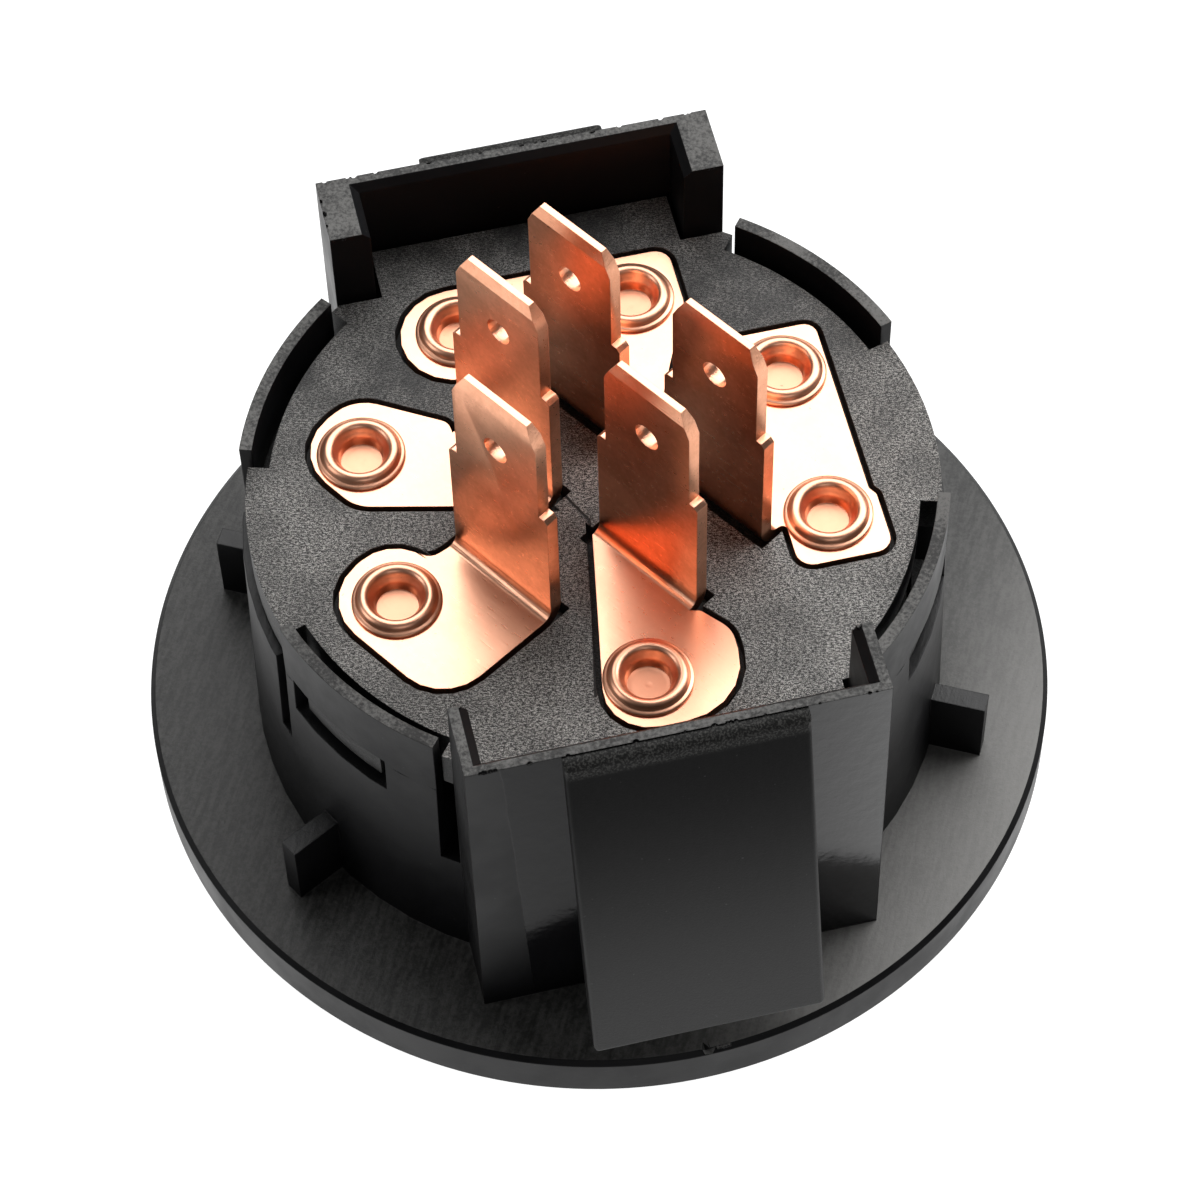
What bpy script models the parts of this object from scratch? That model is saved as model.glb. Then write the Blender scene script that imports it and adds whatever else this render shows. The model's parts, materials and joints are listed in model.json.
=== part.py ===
"""Round snap-in rotary selector switch with five blade terminals.

The switch stands on its knob: +Z runs from the knob to the terminals at the rear, and the origin is
the centre of the knob's front face. The two latch boxes lie along +Y and -Y. Units are metres.
"""

import math

import bmesh
import bpy
from mathutils import Matrix, Vector

MM = 0.001
GAP = 0.3 * MM  # air between pieces that touch or run on each other

# Levels along Z
KNOB_REAR_Z = 11.2 * MM
FLANGE_FRONT_Z = 11.6 * MM
SEAT_Z = 15.0 * MM  # rear face of the flange, which sits on the panel
BOSS_TOP_Z = SEAT_Z + 3.6 * MM
LEDGE_Z = SEAT_Z + 14.6 * MM  # carries the terminal base
WALL_TOP_Z = SEAT_Z + 15.8 * MM
PLATE_Z = SEAT_Z + 19.0 * MM  # rear surface of the terminal base
FINGER_TOP_Z = SEAT_Z + 20.3 * MM
BOX_TOP_Z = SEAT_Z + 24.8 * MM

# Housing
FLANGE_R = 27.5 * MM
FLANGE_EDGE = 0.3 * MM
DIAL_RECESS_R = 20.6 * MM
DIAL_RECESS_DEPTH = 0.8 * MM
WALL_FOOT_R = 20.9 * MM
WALL_TOP_R = 20.45 * MM
WALL_INNER_R = 18.6 * MM
LEDGE_R = 17.3 * MM
BOSS_R = 6.5 * MM
SHAFT_HOLE_R = 3.3 * MM
TURNED_STEPS = 56

# Flexible fingers: angles are measured from the Y axis, towards X
FINGER_ANGLES = (38.5, 72.0)
SLIT_ANGLE = 3.4
SLIT_FLOOR_Z = SEAT_Z + 8.8 * MM
FINGER_INNER_R = 19.7 * MM
FINGER_OUTER_R = 20.43 * MM
FINGER_ROOT_Z = SEAT_Z + 12.6 * MM
WINDOW_ANGLES = (48.0, 69.5)
WINDOW_Z = (SEAT_Z + 13.2 * MM, SEAT_Z + 16.1 * MM)

# Latch boxes and arms
BOX_HALF_WIDTH = 11.8 * MM
BOX_FOOT_Y = 21.4 * MM
BOX_TOP_Y = 20.9 * MM
BOX_INNER_Y = 20.0 * MM
RETURN_INNER_Y = 16.5 * MM
RETURN_WIDTHS = {-1: 1.1 * MM, 1: 2.4 * MM}
ARM_HALF_WIDTHS = {-1: 6.8 * MM, 1: 5.5 * MM}
ARM_SHIFTS = {-1: 0.3 * MM, 1: 0.0}  # along X, off the box's centre
ARM_TOP_Z = SEAT_Z + 24.7 * MM
ARM_TIP_Z = SEAT_Z + 2.1 * MM
ARM_TIP_Y = 27.1 * MM
ARM_TOP_Y = 21.7 * MM
ARM_THICKNESS = 1.5 * MM
ARM_AXIS_Y = 21.45 * MM
ARM_AXIS_Z = SEAT_Z + 24.2 * MM

# Centring ribs on the flange
RIB_ANGLES = (28.3, 151.7, 208.3, 331.7)
RIB_R = 24.0 * MM
RIB_THICKNESS = 1.2 * MM
RIB_HEIGHT = 5.0 * MM

# Terminal base
BASE_R = 20.0 * MM
BASE_NOTCH_R = 18.75 * MM
BASE_PLUG_R = 18.2 * MM  # rests on the ledge
BASE_RIM_Z = SEAT_Z + 16.4 * MM
BASE_FRONT_Z = LEDGE_Z + GAP
POCKET_GAP = 0.35 * MM
POCKET_DEPTH = 1.1 * MM
HOOK_ANGLES = (50.0, 67.5)
HOOK_Z = (SEAT_Z + 13.6 * MM, SEAT_Z + 15.6 * MM)
HOOK_R = 20.0 * MM
HOOK_TAB_RADII = (17.6 * MM, 18.6 * MM)

# Blade terminals, stamped from one gauge of copper
SHEET = 0.8 * MM
BEND_R = 0.6 * MM
BLADE_ANGLE = -57.0
STEM_HALF_WIDTH = 3.78 * MM
TAB_HALF_WIDTH = 3.15 * MM
SHOULDER_HEIGHT = 9.2 * MM
CHAMFER_HEIGHT = 15.0 * MM
BLADE_HEIGHT = 16.6 * MM
TAB_TIP_HALF_WIDTH = 2.35 * MM
TAB_TIP_HALF_THICKNESS = 0.2 * MM
TAB_HOLE_R = 0.85 * MM
TAB_HOLE_HEIGHT = 12.4 * MM

# Contact rivets
RIVET_CIRCLE_R = 13.6 * MM
RIVET_SHANK_R = 1.6 * MM
RIVET_HEAD_R = 2.4 * MM
RIVET_HEAD_HEIGHT = 1.1 * MM
RIVET_RING_R = 2.6 * MM
RIVET_RING_HEIGHT = 0.6 * MM
RIVET_HOLE_R = RIVET_SHANK_R + GAP
RIVET_ANGLES = {
    "left_front": -157.5,
    "left_rear": 157.5,
    "rear_left": 112.5,
    "rear_right": 67.5,
    "right_rear": 22.5,
    "right_front": -22.5,
    "front": -90.0,
}

# Each terminal: blade centre, the side of the blade that its flat lies on (1 = front left,
# -1 = rear right), the rivets in it, and the flat's corners from the bend round, with radii.
TERMINALS = {
    "left_front": {
        "blade": (-6.09, -4.95),
        "side": 1,
        "rivets": ("left_front",),
        "corners": ((-10.3, -2.9, 0.9), (-11.8, -0.6, 2.6), (-17.1, -4.1, 3.3), (-11.5, -12.7, 2.9)),
    },
    "left_rear": {
        "blade": (-4.21, 2.88),
        "side": 1,
        "rivets": ("left_rear",),
        "corners": ((-7.2, 6.3, 0.8), (-12.2, 9.3, 2.4), (-16.7, 6.5, 3.2), (-13.6, 1.7, 2.2)),
    },
    "rear": {
        "blade": (0.43, 5.54),
        "side": -1,
        "rivets": ("rear_left", "rear_right"),
        "corners": (
            (4.8, 3.9, 0.6),
            (8.2, 11.6, 1.0),
            (8.2, 15.75, 1.0),
            (-8.7, 15.75, 3.3),
            (-8.7, 9.0, 3.3),
        ),
    },
    "right": {
        "blade": (6.64, -2.81),
        "side": -1,
        "rivets": ("right_rear", "right_front"),
        "corners": (
            (10.05, -5.3, 0.3),
            (10.05, -8.4, 1.0),
            (15.6, -8.4, 1.0),
            (15.6, -4.5, 0.3),
            (15.28, -4.0, 0.3),
            (15.28, 8.32, 0.8),
            (9.4, 8.32, 1.0),
            (6.9, 1.9, 0.6),
        ),
    },
    "front": {
        "blade": (2.05, -6.03),
        "side": 1,
        "rivets": ("front",),
        "corners": ((-3.2, -16.8, 2.6), (5.3, -16.8, 3.9), (5.3, -11.5, 1.8), (3.9, -9.9, 0.5)),
    },
}

# Turning parts
SHAFT_R = 3.0 * MM
SHAFT_FLAT_X = 2.2 * MM
SHAFT_REAR_Z = 26.6 * MM
WASHER_Z = BOSS_TOP_Z + GAP
WASHER_THICKNESS = 0.5 * MM
CLIP_Z = WASHER_Z + WASHER_THICKNESS + GAP
CLIP_THICKNESS = 0.6 * MM
CLIP_R = 4.9 * MM
GROOVE_R = 2.3 * MM
ROTOR_FRONT_Z = CLIP_Z + CLIP_THICKNESS + GAP + 0.1 * MM
ROTOR_DISC_THICKNESS = 3.0 * MM
ROTOR_R = 15.8 * MM
HUB_R = 5.4 * MM
HUB_REAR_R = 4.6 * MM
HUB_REAR_Z = 25.6 * MM

# Detent: two sprung plungers in the rotor press on a notched ring on the housing floor
DETENT_R = 12.2 * MM
DETENT_RING_RADII = (9.4 * MM, 15.0 * MM)
DETENT_RING_Z = (SEAT_Z + GAP, SEAT_Z + 1.9 * MM)
NOTCH_COUNT = 8
NOTCH_DEPTH = 0.7 * MM
PLUNGER_R = 1.4 * MM
PLUNGER_BORE_R = 1.75 * MM
PLUNGER_BOSS_R = 2.9 * MM
PLUNGER_BOSS_Z = 26.7 * MM
PLUNGER_BORE_END_Z = 25.9 * MM
PLUNGER_TIP_Z = DETENT_RING_Z[1] + GAP
PLUNGER_HEAD_Z = 22.4 * MM
PLUNGER_ANGLE = 112.5

# Contact bridge
BRIDGE_ANGLE = 22.5
BRIDGE_Z = (26.2 * MM, 27.0 * MM)
BRIDGE_HALF_WIDTH = 2.6 * MM
BRIDGE_CENTRE_R = 5.6 * MM
BRIDGE_HOLE_R = 4.0 * MM
MOVING_CONTACT_R = 1.9 * MM
MOVING_CONTACT_Z = BRIDGE_Z[1] + GAP
MOVING_CONTACT_HEIGHT = 0.9 * MM
CONTACT_SHANK_R = 0.8 * MM
CONTACT_SPRING_R = 8.0 * MM
SPRING_SEAT_R = 2.1 * MM
SPRING_SEAT_DEPTH = 1.2 * MM

# Springs: mean coil radius, wire radius, turns
CONTACT_SPRING = (1.5 * MM, 0.2 * MM, 4)
DETENT_SPRING = (1.05 * MM, 0.17 * MM, 5)

# Knob and dial
KNOB_R = 16.6 * MM
KNOB_FACE_R = 15.6 * MM
KNOB_WALL = 1.9 * MM
KNOB_FACE_THICKNESS = 2.2 * MM
KNOB_BOSS_R = 6.2 * MM
KNOB_FLUTES = 16
FLUTE_R = 1.5 * MM
POINTER_HALF_WIDTH = 0.7 * MM
POINTER_RADII = (6.5 * MM, 15.0 * MM)
POINTER_DEPTH = 0.8 * MM
DIAL_R = DIAL_RECESS_R - GAP
DIAL_THICKNESS = 0.4 * MM


def clear_scene():
    for obj in list(bpy.data.objects):
        bpy.data.objects.remove(obj, do_unlink=True)


def material(name, color, roughness, metallic=0.0):
    found = bpy.data.materials.new(name)
    found.use_nodes = True
    shader = found.node_tree.nodes["Principled BSDF"]
    shader.inputs["Base Color"].default_value = (*color, 1.0)
    shader.inputs["Roughness"].default_value = roughness
    shader.inputs["Metallic"].default_value = metallic
    return found


def polar(radius, degrees):
    return radius * math.cos(math.radians(degrees)), radius * math.sin(math.radians(degrees))


# ---- outlines -------------------------------------------------------------------------------


def circle_outline(centre, radius, steps=24):
    turns = [360.0 * i / steps for i in range(steps)]
    return [(centre[0] + polar(radius, a)[0], centre[1] + polar(radius, a)[1]) for a in turns]


def sector_outline(inner, outer, start, end, steps=10):
    """A piece of a ring, counterclockwise, between two angles in degrees from +X."""
    turns = [start + (end - start) * i / steps for i in range(steps + 1)]
    return [polar(outer, a) for a in turns] + [polar(inner, a) for a in reversed(turns)]


def box_outline(low_x, high_x, low_y, high_y):
    return [(low_x, low_y), (high_x, low_y), (high_x, high_y), (low_x, high_y)]


def signed_area(points):
    pairs = zip(points, points[1:] + points[:1])
    return 0.5 * sum(a[0] * b[1] - b[0] * a[1] for a, b in pairs)


def grown(corners, distance):
    """The counterclockwise outline with every edge moved out by distance, and its radii to suit."""
    moved = []
    count = len(corners)
    for i, (x, y, radius) in enumerate(corners):
        here = Vector((x, y))
        before = (here - Vector(corners[i - 1][:2])).normalized()
        after = (Vector(corners[(i + 1) % count][:2]) - here).normalized()
        turn = before.x * after.y - before.y * after.x
        out = Vector((before.y + after.y, -before.x - after.x))
        point = here + out * (distance / (1.0 + before.dot(after)))
        new_radius = radius + distance if turn > 0 else max(radius - distance, 0.0)
        moved.append((point.x, point.y, new_radius if radius else 0.0))
    return moved


def rounded(corners, steps=5):
    """Points along an outline whose corners are (x, y, radius)."""
    points = []
    count = len(corners)
    for i, (x, y, radius) in enumerate(corners):
        here = Vector((x, y))
        back = (Vector(corners[i - 1][:2]) - here).normalized()
        ahead = (Vector(corners[(i + 1) % count][:2]) - here).normalized()
        if radius <= 0.0:
            points.append((x, y))
            continue
        half = 0.5 * back.angle(ahead)
        centre = here + (back + ahead).normalized() * (radius / math.sin(half))
        start = here + back * (radius / math.tan(half)) - centre
        sweep = (math.pi - 2.0 * half) * (1 if back.x * ahead.y - back.y * ahead.x < 0 else -1)
        for step in range(steps + 1):
            arm = start.copy()
            arm.rotate(Matrix.Rotation(sweep * step / steps, 2))
            points.append(tuple(centre + arm))
    return points


# ---- solids ---------------------------------------------------------------------------------


def solid(name, points, faces):
    mesh = bpy.data.meshes.new(name)
    mesh.from_pydata(points, [], faces)
    shape = bmesh.new()
    shape.from_mesh(mesh)
    bmesh.ops.recalc_face_normals(shape, faces=shape.faces)
    shape.to_mesh(mesh)
    shape.free()
    obj = bpy.data.objects.new(name, mesh)
    bpy.context.scene.collection.objects.link(obj)
    return obj


def prism(outline, low, high, name="tool"):
    """The outline in the XY plane, from z = low to z = high."""
    if signed_area(outline) < 0:
        outline = outline[::-1]
    count = len(outline)
    points = [(x, y, z) for z in (low, high) for x, y in outline]
    sides = [(i, (i + 1) % count, count + (i + 1) % count, count + i) for i in range(count)]
    caps = [tuple(reversed(range(count))), tuple(range(count, 2 * count))]
    return solid(name, points, sides + caps)


def cross_prism(outline, half_width, name="tool"):
    """An outline in the YZ plane, extruded along X to both sides."""
    obj = prism(outline, -half_width, half_width, name)
    turn = Matrix(((0, 0, 1, 0), (1, 0, 0, 0), (0, 1, 0, 0), (0, 0, 0, 1)))
    obj.data.transform(turn)
    return obj


def lathe(profile, name="tool", steps=TURNED_STEPS):
    """A profile of (radius, z), counterclockwise seen with the radius to the right, turned about Z."""
    points, rings = [], []
    for radius, z in profile:
        if radius == 0.0:
            rings.append([len(points)] * steps)
            points.append((0.0, 0.0, z))
            continue
        rings.append([len(points) + i for i in range(steps)])
        points += [(*polar(radius, 360.0 * i / steps), z) for i in range(steps)]
    faces = []
    for ring, following in zip(rings, rings[1:] + rings[:1]):
        for i in range(steps):
            j = (i + 1) % steps
            corners = (ring[i], ring[j], following[j], following[i])
            face = tuple(dict.fromkeys(corners))
            if len(face) > 2:
                faces.append(face)
    return solid(name, points, faces)


def tube(centre, radius, low, high, steps=24):
    return prism(circle_outline(centre, radius, steps), low, high)


def combine(target, tools, operation):
    for tool in tools:
        modifier = target.modifiers.new(operation, "BOOLEAN")
        modifier.operation = operation
        modifier.object = tool
    bpy.context.view_layer.update()
    graph = bpy.context.evaluated_depsgraph_get()
    result = bpy.data.meshes.new_from_object(target.evaluated_get(graph))
    target.modifiers.clear()
    target.data = result
    for tool in tools:
        bpy.data.objects.remove(tool, do_unlink=True)
    return target


def cut(target, *tools):
    return combine(target, tools, "DIFFERENCE")


def join(target, *tools):
    return combine(target, tools, "UNION")


def turned(obj, degrees):
    obj.data.transform(Matrix.Rotation(math.radians(degrees), 4, "Z"))
    return obj


def moved(obj, x=0.0, y=0.0, z=0.0):
    obj.data.transform(Matrix.Translation((x, y, z)))
    return obj


def finish(obj, look, name=None, origin=(0.0, 0.0, 0.0), parent=None, sharp=30.0):
    """Names the object, gives it its material and smooth shading, and puts its origin in place."""
    if name:
        obj.name = name
        obj.data.name = name
    obj.data.materials.clear()
    obj.data.materials.append(look)
    obj.data.shade_smooth()
    obj.data.set_sharp_from_angle(angle=math.radians(sharp))
    obj.data.transform(Matrix.Translation(-Vector(origin)))
    obj.location = origin
    if parent:
        obj.parent = parent
        obj.location = Vector(origin) - parent.location
    return obj


def axis_empty(name, location=(0.0, 0.0, 0.0)):
    empty = bpy.data.objects.new(name, None)
    empty.location = location
    bpy.context.scene.collection.objects.link(empty)
    return empty


def quarters(start, end):
    """The four copies, mirrored in X and Y, of a span of angles measured from the Y axis."""
    for middle in (90.0, 270.0):
        yield middle + start, middle + end
        yield middle - end, middle - start


# ---- housing --------------------------------------------------------------------------------


def turned_housing():
    recess_z = FLANGE_FRONT_Z + DIAL_RECESS_DEPTH
    return lathe(
        [
            (SHAFT_HOLE_R, recess_z),
            (DIAL_RECESS_R, recess_z),
            (DIAL_RECESS_R, FLANGE_FRONT_Z),
            (FLANGE_R - FLANGE_EDGE, FLANGE_FRONT_Z),
            (FLANGE_R, FLANGE_FRONT_Z + FLANGE_EDGE),
            (FLANGE_R, SEAT_Z - FLANGE_EDGE),
            (FLANGE_R - FLANGE_EDGE, SEAT_Z),
            (WALL_FOOT_R, SEAT_Z),
            (WALL_TOP_R, WALL_TOP_Z),
            (WALL_INNER_R, WALL_TOP_Z),
            (WALL_INNER_R, LEDGE_Z),
            (LEDGE_R, LEDGE_Z),
            (LEDGE_R, SEAT_Z),
            (BOSS_R, SEAT_Z),
            (BOSS_R, BOSS_TOP_Z),
            (SHAFT_HOLE_R, BOSS_TOP_Z),
        ],
        "housing",
    )


def latch_box(side):
    """The outer wall and the two returns of the box on one side; the wall leans in towards its top."""
    floor = SEAT_Z - 1.0 * MM
    half = BOX_HALF_WIDTH
    inner_half = half - RETURN_WIDTHS[side]
    outline = [
        (-half, RETURN_INNER_Y),
        (-inner_half, RETURN_INNER_Y),
        (-inner_half, BOX_INNER_Y),
        (inner_half, BOX_INNER_Y),
        (inner_half, RETURN_INNER_Y),
        (half, RETURN_INNER_Y),
        (half, BOX_FOOT_Y),
        (-half, BOX_FOOT_Y),
    ]
    box = prism(outline, floor, BOX_TOP_Z)
    outside = BOX_FOOT_Y + 3.0 * MM
    above = BOX_TOP_Z + 1.0 * MM
    lean = [(BOX_FOOT_Y, SEAT_Z), (outside, SEAT_Z), (outside, above), (BOX_TOP_Y, above)]
    cut(box, cross_prism(lean, half + 1.0 * MM))
    return turned(box, 0.0 if side > 0 else 180.0)


def rib(angle):
    outline = box_outline(WALL_TOP_R - 1.0 * MM, RIB_R, -RIB_THICKNESS / 2, RIB_THICKNESS / 2)
    return turned(prism(outline, SEAT_Z - 1.0 * MM, SEAT_Z + RIB_HEIGHT), angle)


def finger_sectors():
    """Four solid blocks of wall that the fingers are cut out of, a little wider than the fingers."""
    spare = 0.5 * SLIT_ANGLE
    blocks = []
    for low, high in quarters(FINGER_ANGLES[0] - spare, FINGER_ANGLES[1] + spare):
        outline = sector_outline(WALL_INNER_R + 0.4 * MM, FINGER_OUTER_R, low, high, steps=14)
        blocks.append(prism(outline, WALL_TOP_Z - 1.0 * MM, FINGER_TOP_Z))
    return blocks


def finger_cuts():
    """The relief behind each finger, the slits at both its sides and its window."""
    start, end = FINGER_ANGLES
    spare = 0.3 * SLIT_ANGLE
    inside, outside = LEDGE_R - 2.0 * MM, FINGER_OUTER_R + 2.0 * MM
    above = FINGER_TOP_Z + 1.0 * MM
    cuts = []
    for low, high in quarters(start - spare, end + spare):
        outline = sector_outline(inside, FINGER_INNER_R, low, high, steps=14)
        cuts.append(prism(outline, FINGER_ROOT_Z, above))
    for low, high in [*quarters(start - SLIT_ANGLE, start), *quarters(end, end + SLIT_ANGLE)]:
        cuts.append(prism(sector_outline(inside, outside, low, high, steps=2), SLIT_FLOOR_Z, above))
    for low, high in quarters(*WINDOW_ANGLES):
        outline = sector_outline(FINGER_INNER_R - 2.0 * MM, outside, low, high, steps=2)
        cuts.append(prism(outline, *WINDOW_Z))
    return cuts


def housing(look):
    body = turned_housing()
    join(body, *finger_sectors())
    cut(body, *finger_cuts())
    join(body, latch_box(-1), latch_box(1), *[rib(angle) for angle in RIB_ANGLES])
    return finish(body, look)


def latch_arm(side, name, look):
    """A snap arm: it hangs from the top of its box wall and flares out to just above the flange."""
    wall_y = BOX_TOP_Y + GAP
    root_z = ARM_TOP_Z - 1.6 * MM
    inner_tip_y = ARM_TIP_Y - ARM_THICKNESS
    profile = [
        (wall_y, ARM_TOP_Z),
        (wall_y + 0.06 * MM, root_z),
        (inner_tip_y - 0.2 * MM, ARM_TIP_Z + 2.6 * MM),
        (ARM_TIP_Y - 0.35 * MM, ARM_TIP_Z),
        (ARM_TIP_Y, ARM_TIP_Z + 0.1 * MM),
        (ARM_TOP_Y + 0.15 * MM, ARM_TOP_Z - 1.1 * MM),
        (ARM_TOP_Y - 0.05 * MM, ARM_TOP_Z - 0.35 * MM),
        (ARM_TOP_Y - 0.2 * MM, ARM_TOP_Z),
    ]
    arm = cross_prism(profile, ARM_HALF_WIDTHS[side], name)
    turned(arm, 0.0 if side > 0 else 180.0)
    arm.data.transform(Matrix.Translation((ARM_SHIFTS[side], 0.0, 0.0)))
    return finish(arm, look, origin=(0.0, side * ARM_AXIS_Y, ARM_AXIS_Z))


# ---- terminal base, terminals and rivets ------------------------------------------------------


def blade_frame(terminal):
    """From (along the blade, away from it on the flat's side) to the switch's XY plane."""
    centre = Vector(terminal["blade"]) * MM
    along = Vector(polar(1.0, BLADE_ANGLE))
    away = Vector((along.y, -along.x)) * terminal["side"]
    return lambda s, t: tuple(centre + along * s + away * t)


def flat_corners(terminal):
    """The flat's outline as (x, y, radius), counterclockwise from one end of its bend edge."""
    place = blade_frame(terminal)
    edge = SHEET / 2 + BEND_R
    corners = [(*place(-terminal["side"] * STEM_HALF_WIDTH, edge), 0.0)]
    corners += [(x * MM, y * MM, radius * MM) for x, y, radius in terminal["corners"]]
    corners.append((*place(terminal["side"] * STEM_HALF_WIDTH, edge), 0.0))
    return corners


def pocket_tools(terminal):
    """The shallow pocket that a flat lies in, and the slot under its bend."""
    above = PLATE_Z + 1.0 * MM
    pocket = prism(rounded(grown(flat_corners(terminal), POCKET_GAP)), PLATE_Z - POCKET_DEPTH, above)
    place = blade_frame(terminal)
    half = STEM_HALF_WIDTH + POCKET_GAP
    near, far = -SHEET / 2 - POCKET_GAP, SHEET / 2 + BEND_R + 2 * POCKET_GAP
    outline = [place(-half, near), place(half, near), place(half, far), place(-half, far)]
    return pocket, prism(outline, PLATE_Z - POCKET_DEPTH - 0.1 * MM, above)


def rivet_centre(name):
    return polar(RIVET_CIRCLE_R, RIVET_ANGLES[name])


def base_quarter(side):
    """The rim's outline from the X axis to the latch box on one side, in the quarter towards +X."""
    spare = 0.8
    high = 90.0 - FINGER_ANGLES[0] + spare
    low = 90.0 - FINGER_ANGLES[1] - spare
    post_y = RETURN_INNER_Y - GAP
    corner = math.degrees(math.asin(post_y / BASE_R))
    inner_x = BOX_HALF_WIDTH - RETURN_WIDTHS[side] - GAP
    points = [polar(BASE_R, low * i / 6) for i in range(7)]
    points += [polar(BASE_NOTCH_R, low + (high - low) * i / 12) for i in range(13)]
    points += [polar(BASE_R, high), polar(BASE_R, 0.5 * (high + corner)), polar(BASE_R, corner)]
    points += [(inner_x, post_y), (inner_x, BOX_INNER_Y - GAP)]
    return points


def base_rim_outline():
    """A disc with four notches for the fingers, squared off inside each latch box."""
    rear = base_quarter(1)
    front = [(x, -y) for x, y in base_quarter(-1)]
    left = [(-x, y) for x, y in reversed(rear)] + [(-x, y) for x, y in front[1:]]
    return rear + left + front[:0:-1]


def base_hooks():
    """Four tabs that hang from the base's rim, each with a nose in its finger's window."""
    tabs = []
    inner, outer = HOOK_TAB_RADII
    for low, high in quarters(*HOOK_ANGLES):
        tab = prism(sector_outline(inner, outer, low, high, 5), HOOK_Z[0], BASE_RIM_Z + 0.8 * MM)
        nose = prism(sector_outline(outer - 0.5 * MM, HOOK_R, low, high, 5), HOOK_Z[0], HOOK_Z[1])
        tabs.append(join(tab, nose))
    return tabs


def terminal_base(look):
    base = prism(base_rim_outline(), BASE_RIM_Z, PLATE_Z, "terminal_base")
    plug = tube((0.0, 0.0), BASE_PLUG_R, BASE_FRONT_Z, BASE_RIM_Z + 0.5 * MM, TURNED_STEPS)
    join(base, plug, *base_hooks())
    for terminal in TERMINALS.values():
        cut(base, *pocket_tools(terminal))
    low, high = BASE_FRONT_Z - 1.0 * MM, PLATE_Z
    cut(base, *[tube(rivet_centre(name), RIVET_HOLE_R, low, high, 16) for name in RIVET_ANGLES])
    return finish(base, look)


def blade_sections():
    """Cross-sections from the flat's bend edge, round the bend and up the blade to its tip.

    Each is (outer point, inner point, half width), with points as (distance from the blade, z).
    """
    centre_t, centre_z = SHEET / 2 + BEND_R, PLATE_Z + BEND_R
    steps = 5
    sections = []
    for step in range(1, steps + 1):
        inner_arm = polar(BEND_R, 270.0 - 90.0 * step / steps)
        outer_arm = polar(BEND_R + SHEET, 270.0 - 90.0 * step / steps)
        outer = (centre_t + outer_arm[0], centre_z + outer_arm[1])
        inner = (centre_t + inner_arm[0], centre_z + inner_arm[1])
        sections.append((outer, inner, STEM_HALF_WIDTH))
    shoulder_z = PLATE_Z + SHOULDER_HEIGHT
    chamfer_z = PLATE_Z + CHAMFER_HEIGHT
    thick = SHEET / 2
    for z, half_width, half_thickness in (
        (shoulder_z - 0.25 * MM, STEM_HALF_WIDTH, thick),
        (shoulder_z, STEM_HALF_WIDTH - 0.25 * MM, thick),
        (shoulder_z, TAB_HALF_WIDTH, thick),
        (chamfer_z, TAB_HALF_WIDTH, thick),
        (chamfer_z + 0.8 * MM, TAB_HALF_WIDTH - 0.35 * MM, thick),
        (PLATE_Z + BLADE_HEIGHT, TAB_TIP_HALF_WIDTH, TAB_TIP_HALF_THICKNESS),
    ):
        sections.append(((-half_thickness, z), (half_thickness, z), half_width))
    return sections


def bent_sheet(name, terminal):
    """The flat and its blade as one closed mesh, which share the points of the bend edge."""
    place = blade_frame(terminal)
    outline = rounded(flat_corners(terminal))
    count = len(outline)
    points = [(x, y, z) for z in (PLATE_Z - SHEET, PLATE_Z) for x, y in outline]
    faces = [tuple(range(count)), tuple(range(count, 2 * count))]
    faces += [(i, i + 1, count + i + 1, count + i) for i in range(count - 1)]
    hand = -terminal["side"]
    ring = (0, count, 2 * count - 1, count - 1)
    for outer, inner, half_width in blade_sections():
        following = tuple(range(len(points), len(points) + 4))
        for s, (t, z) in ((hand, outer), (hand, inner), (-hand, inner), (-hand, outer)):
            points.append((*place(s * half_width, t), z))
        faces += [(ring[i], ring[i - 1], following[i - 1], following[i]) for i in range(4)]
        ring = following
    faces.append(ring)
    return solid(name, points, faces)


def blade_terminal(name, terminal, look):
    sheet = bent_sheet(name, terminal)
    hole = tube((0.0, 0.0), TAB_HOLE_R, -2.0 * MM, 2.0 * MM, 16)
    hole.data.transform(Matrix.Rotation(math.radians(90.0), 4, "X"))
    turned(hole, BLADE_ANGLE)
    centre = Vector(terminal["blade"]) * MM
    moved(hole, centre.x, centre.y, PLATE_Z + TAB_HOLE_HEIGHT)
    low, high = PLATE_Z - SHEET - 1.0 * MM, PLATE_Z + 1.0 * MM
    rivet_holes = [
        tube(rivet_centre(rivet), RIVET_HOLE_R, low, high, 16) for rivet in terminal["rivets"]
    ]
    cut(sheet, hole, *rivet_holes)
    return finish(sheet, look, name)


def contact_rivet(name, centre, look):
    """A semi-tubular rivet: a flat contact head inside, and its end rolled over a terminal."""
    head_low = BASE_FRONT_Z - GAP - RIVET_HEAD_HEIGHT
    head_high = BASE_FRONT_Z - GAP
    ring_low = PLATE_Z + GAP
    ring_high = ring_low + RIVET_RING_HEIGHT
    profile = [
        (0.0, head_low),
        (RIVET_HEAD_R - 0.4 * MM, head_low),
        (RIVET_HEAD_R, head_low + 0.4 * MM),
        (RIVET_HEAD_R, head_high),
        (RIVET_SHANK_R, head_high),
        (RIVET_SHANK_R, ring_low),
        (RIVET_RING_R - 0.12 * MM, ring_low),
        (RIVET_RING_R, ring_low + 0.14 * MM),
        (RIVET_RING_R - 0.12 * MM, ring_low + 0.3 * MM),
        (RIVET_RING_R - 0.5 * MM, ring_high),
        (RIVET_RING_R - 0.85 * MM, ring_high - 0.06 * MM),
        (RIVET_RING_R - 1.25 * MM, ring_low + 0.1 * MM),
        (RIVET_RING_R - 1.43 * MM, PLATE_Z - 1.0 * MM),
        (0.0, PLATE_Z - 1.0 * MM),
    ]
    rivet = moved(lathe(profile, name, steps=16), centre[0], centre[1])
    return finish(rivet, look, sharp=40.0)


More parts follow.
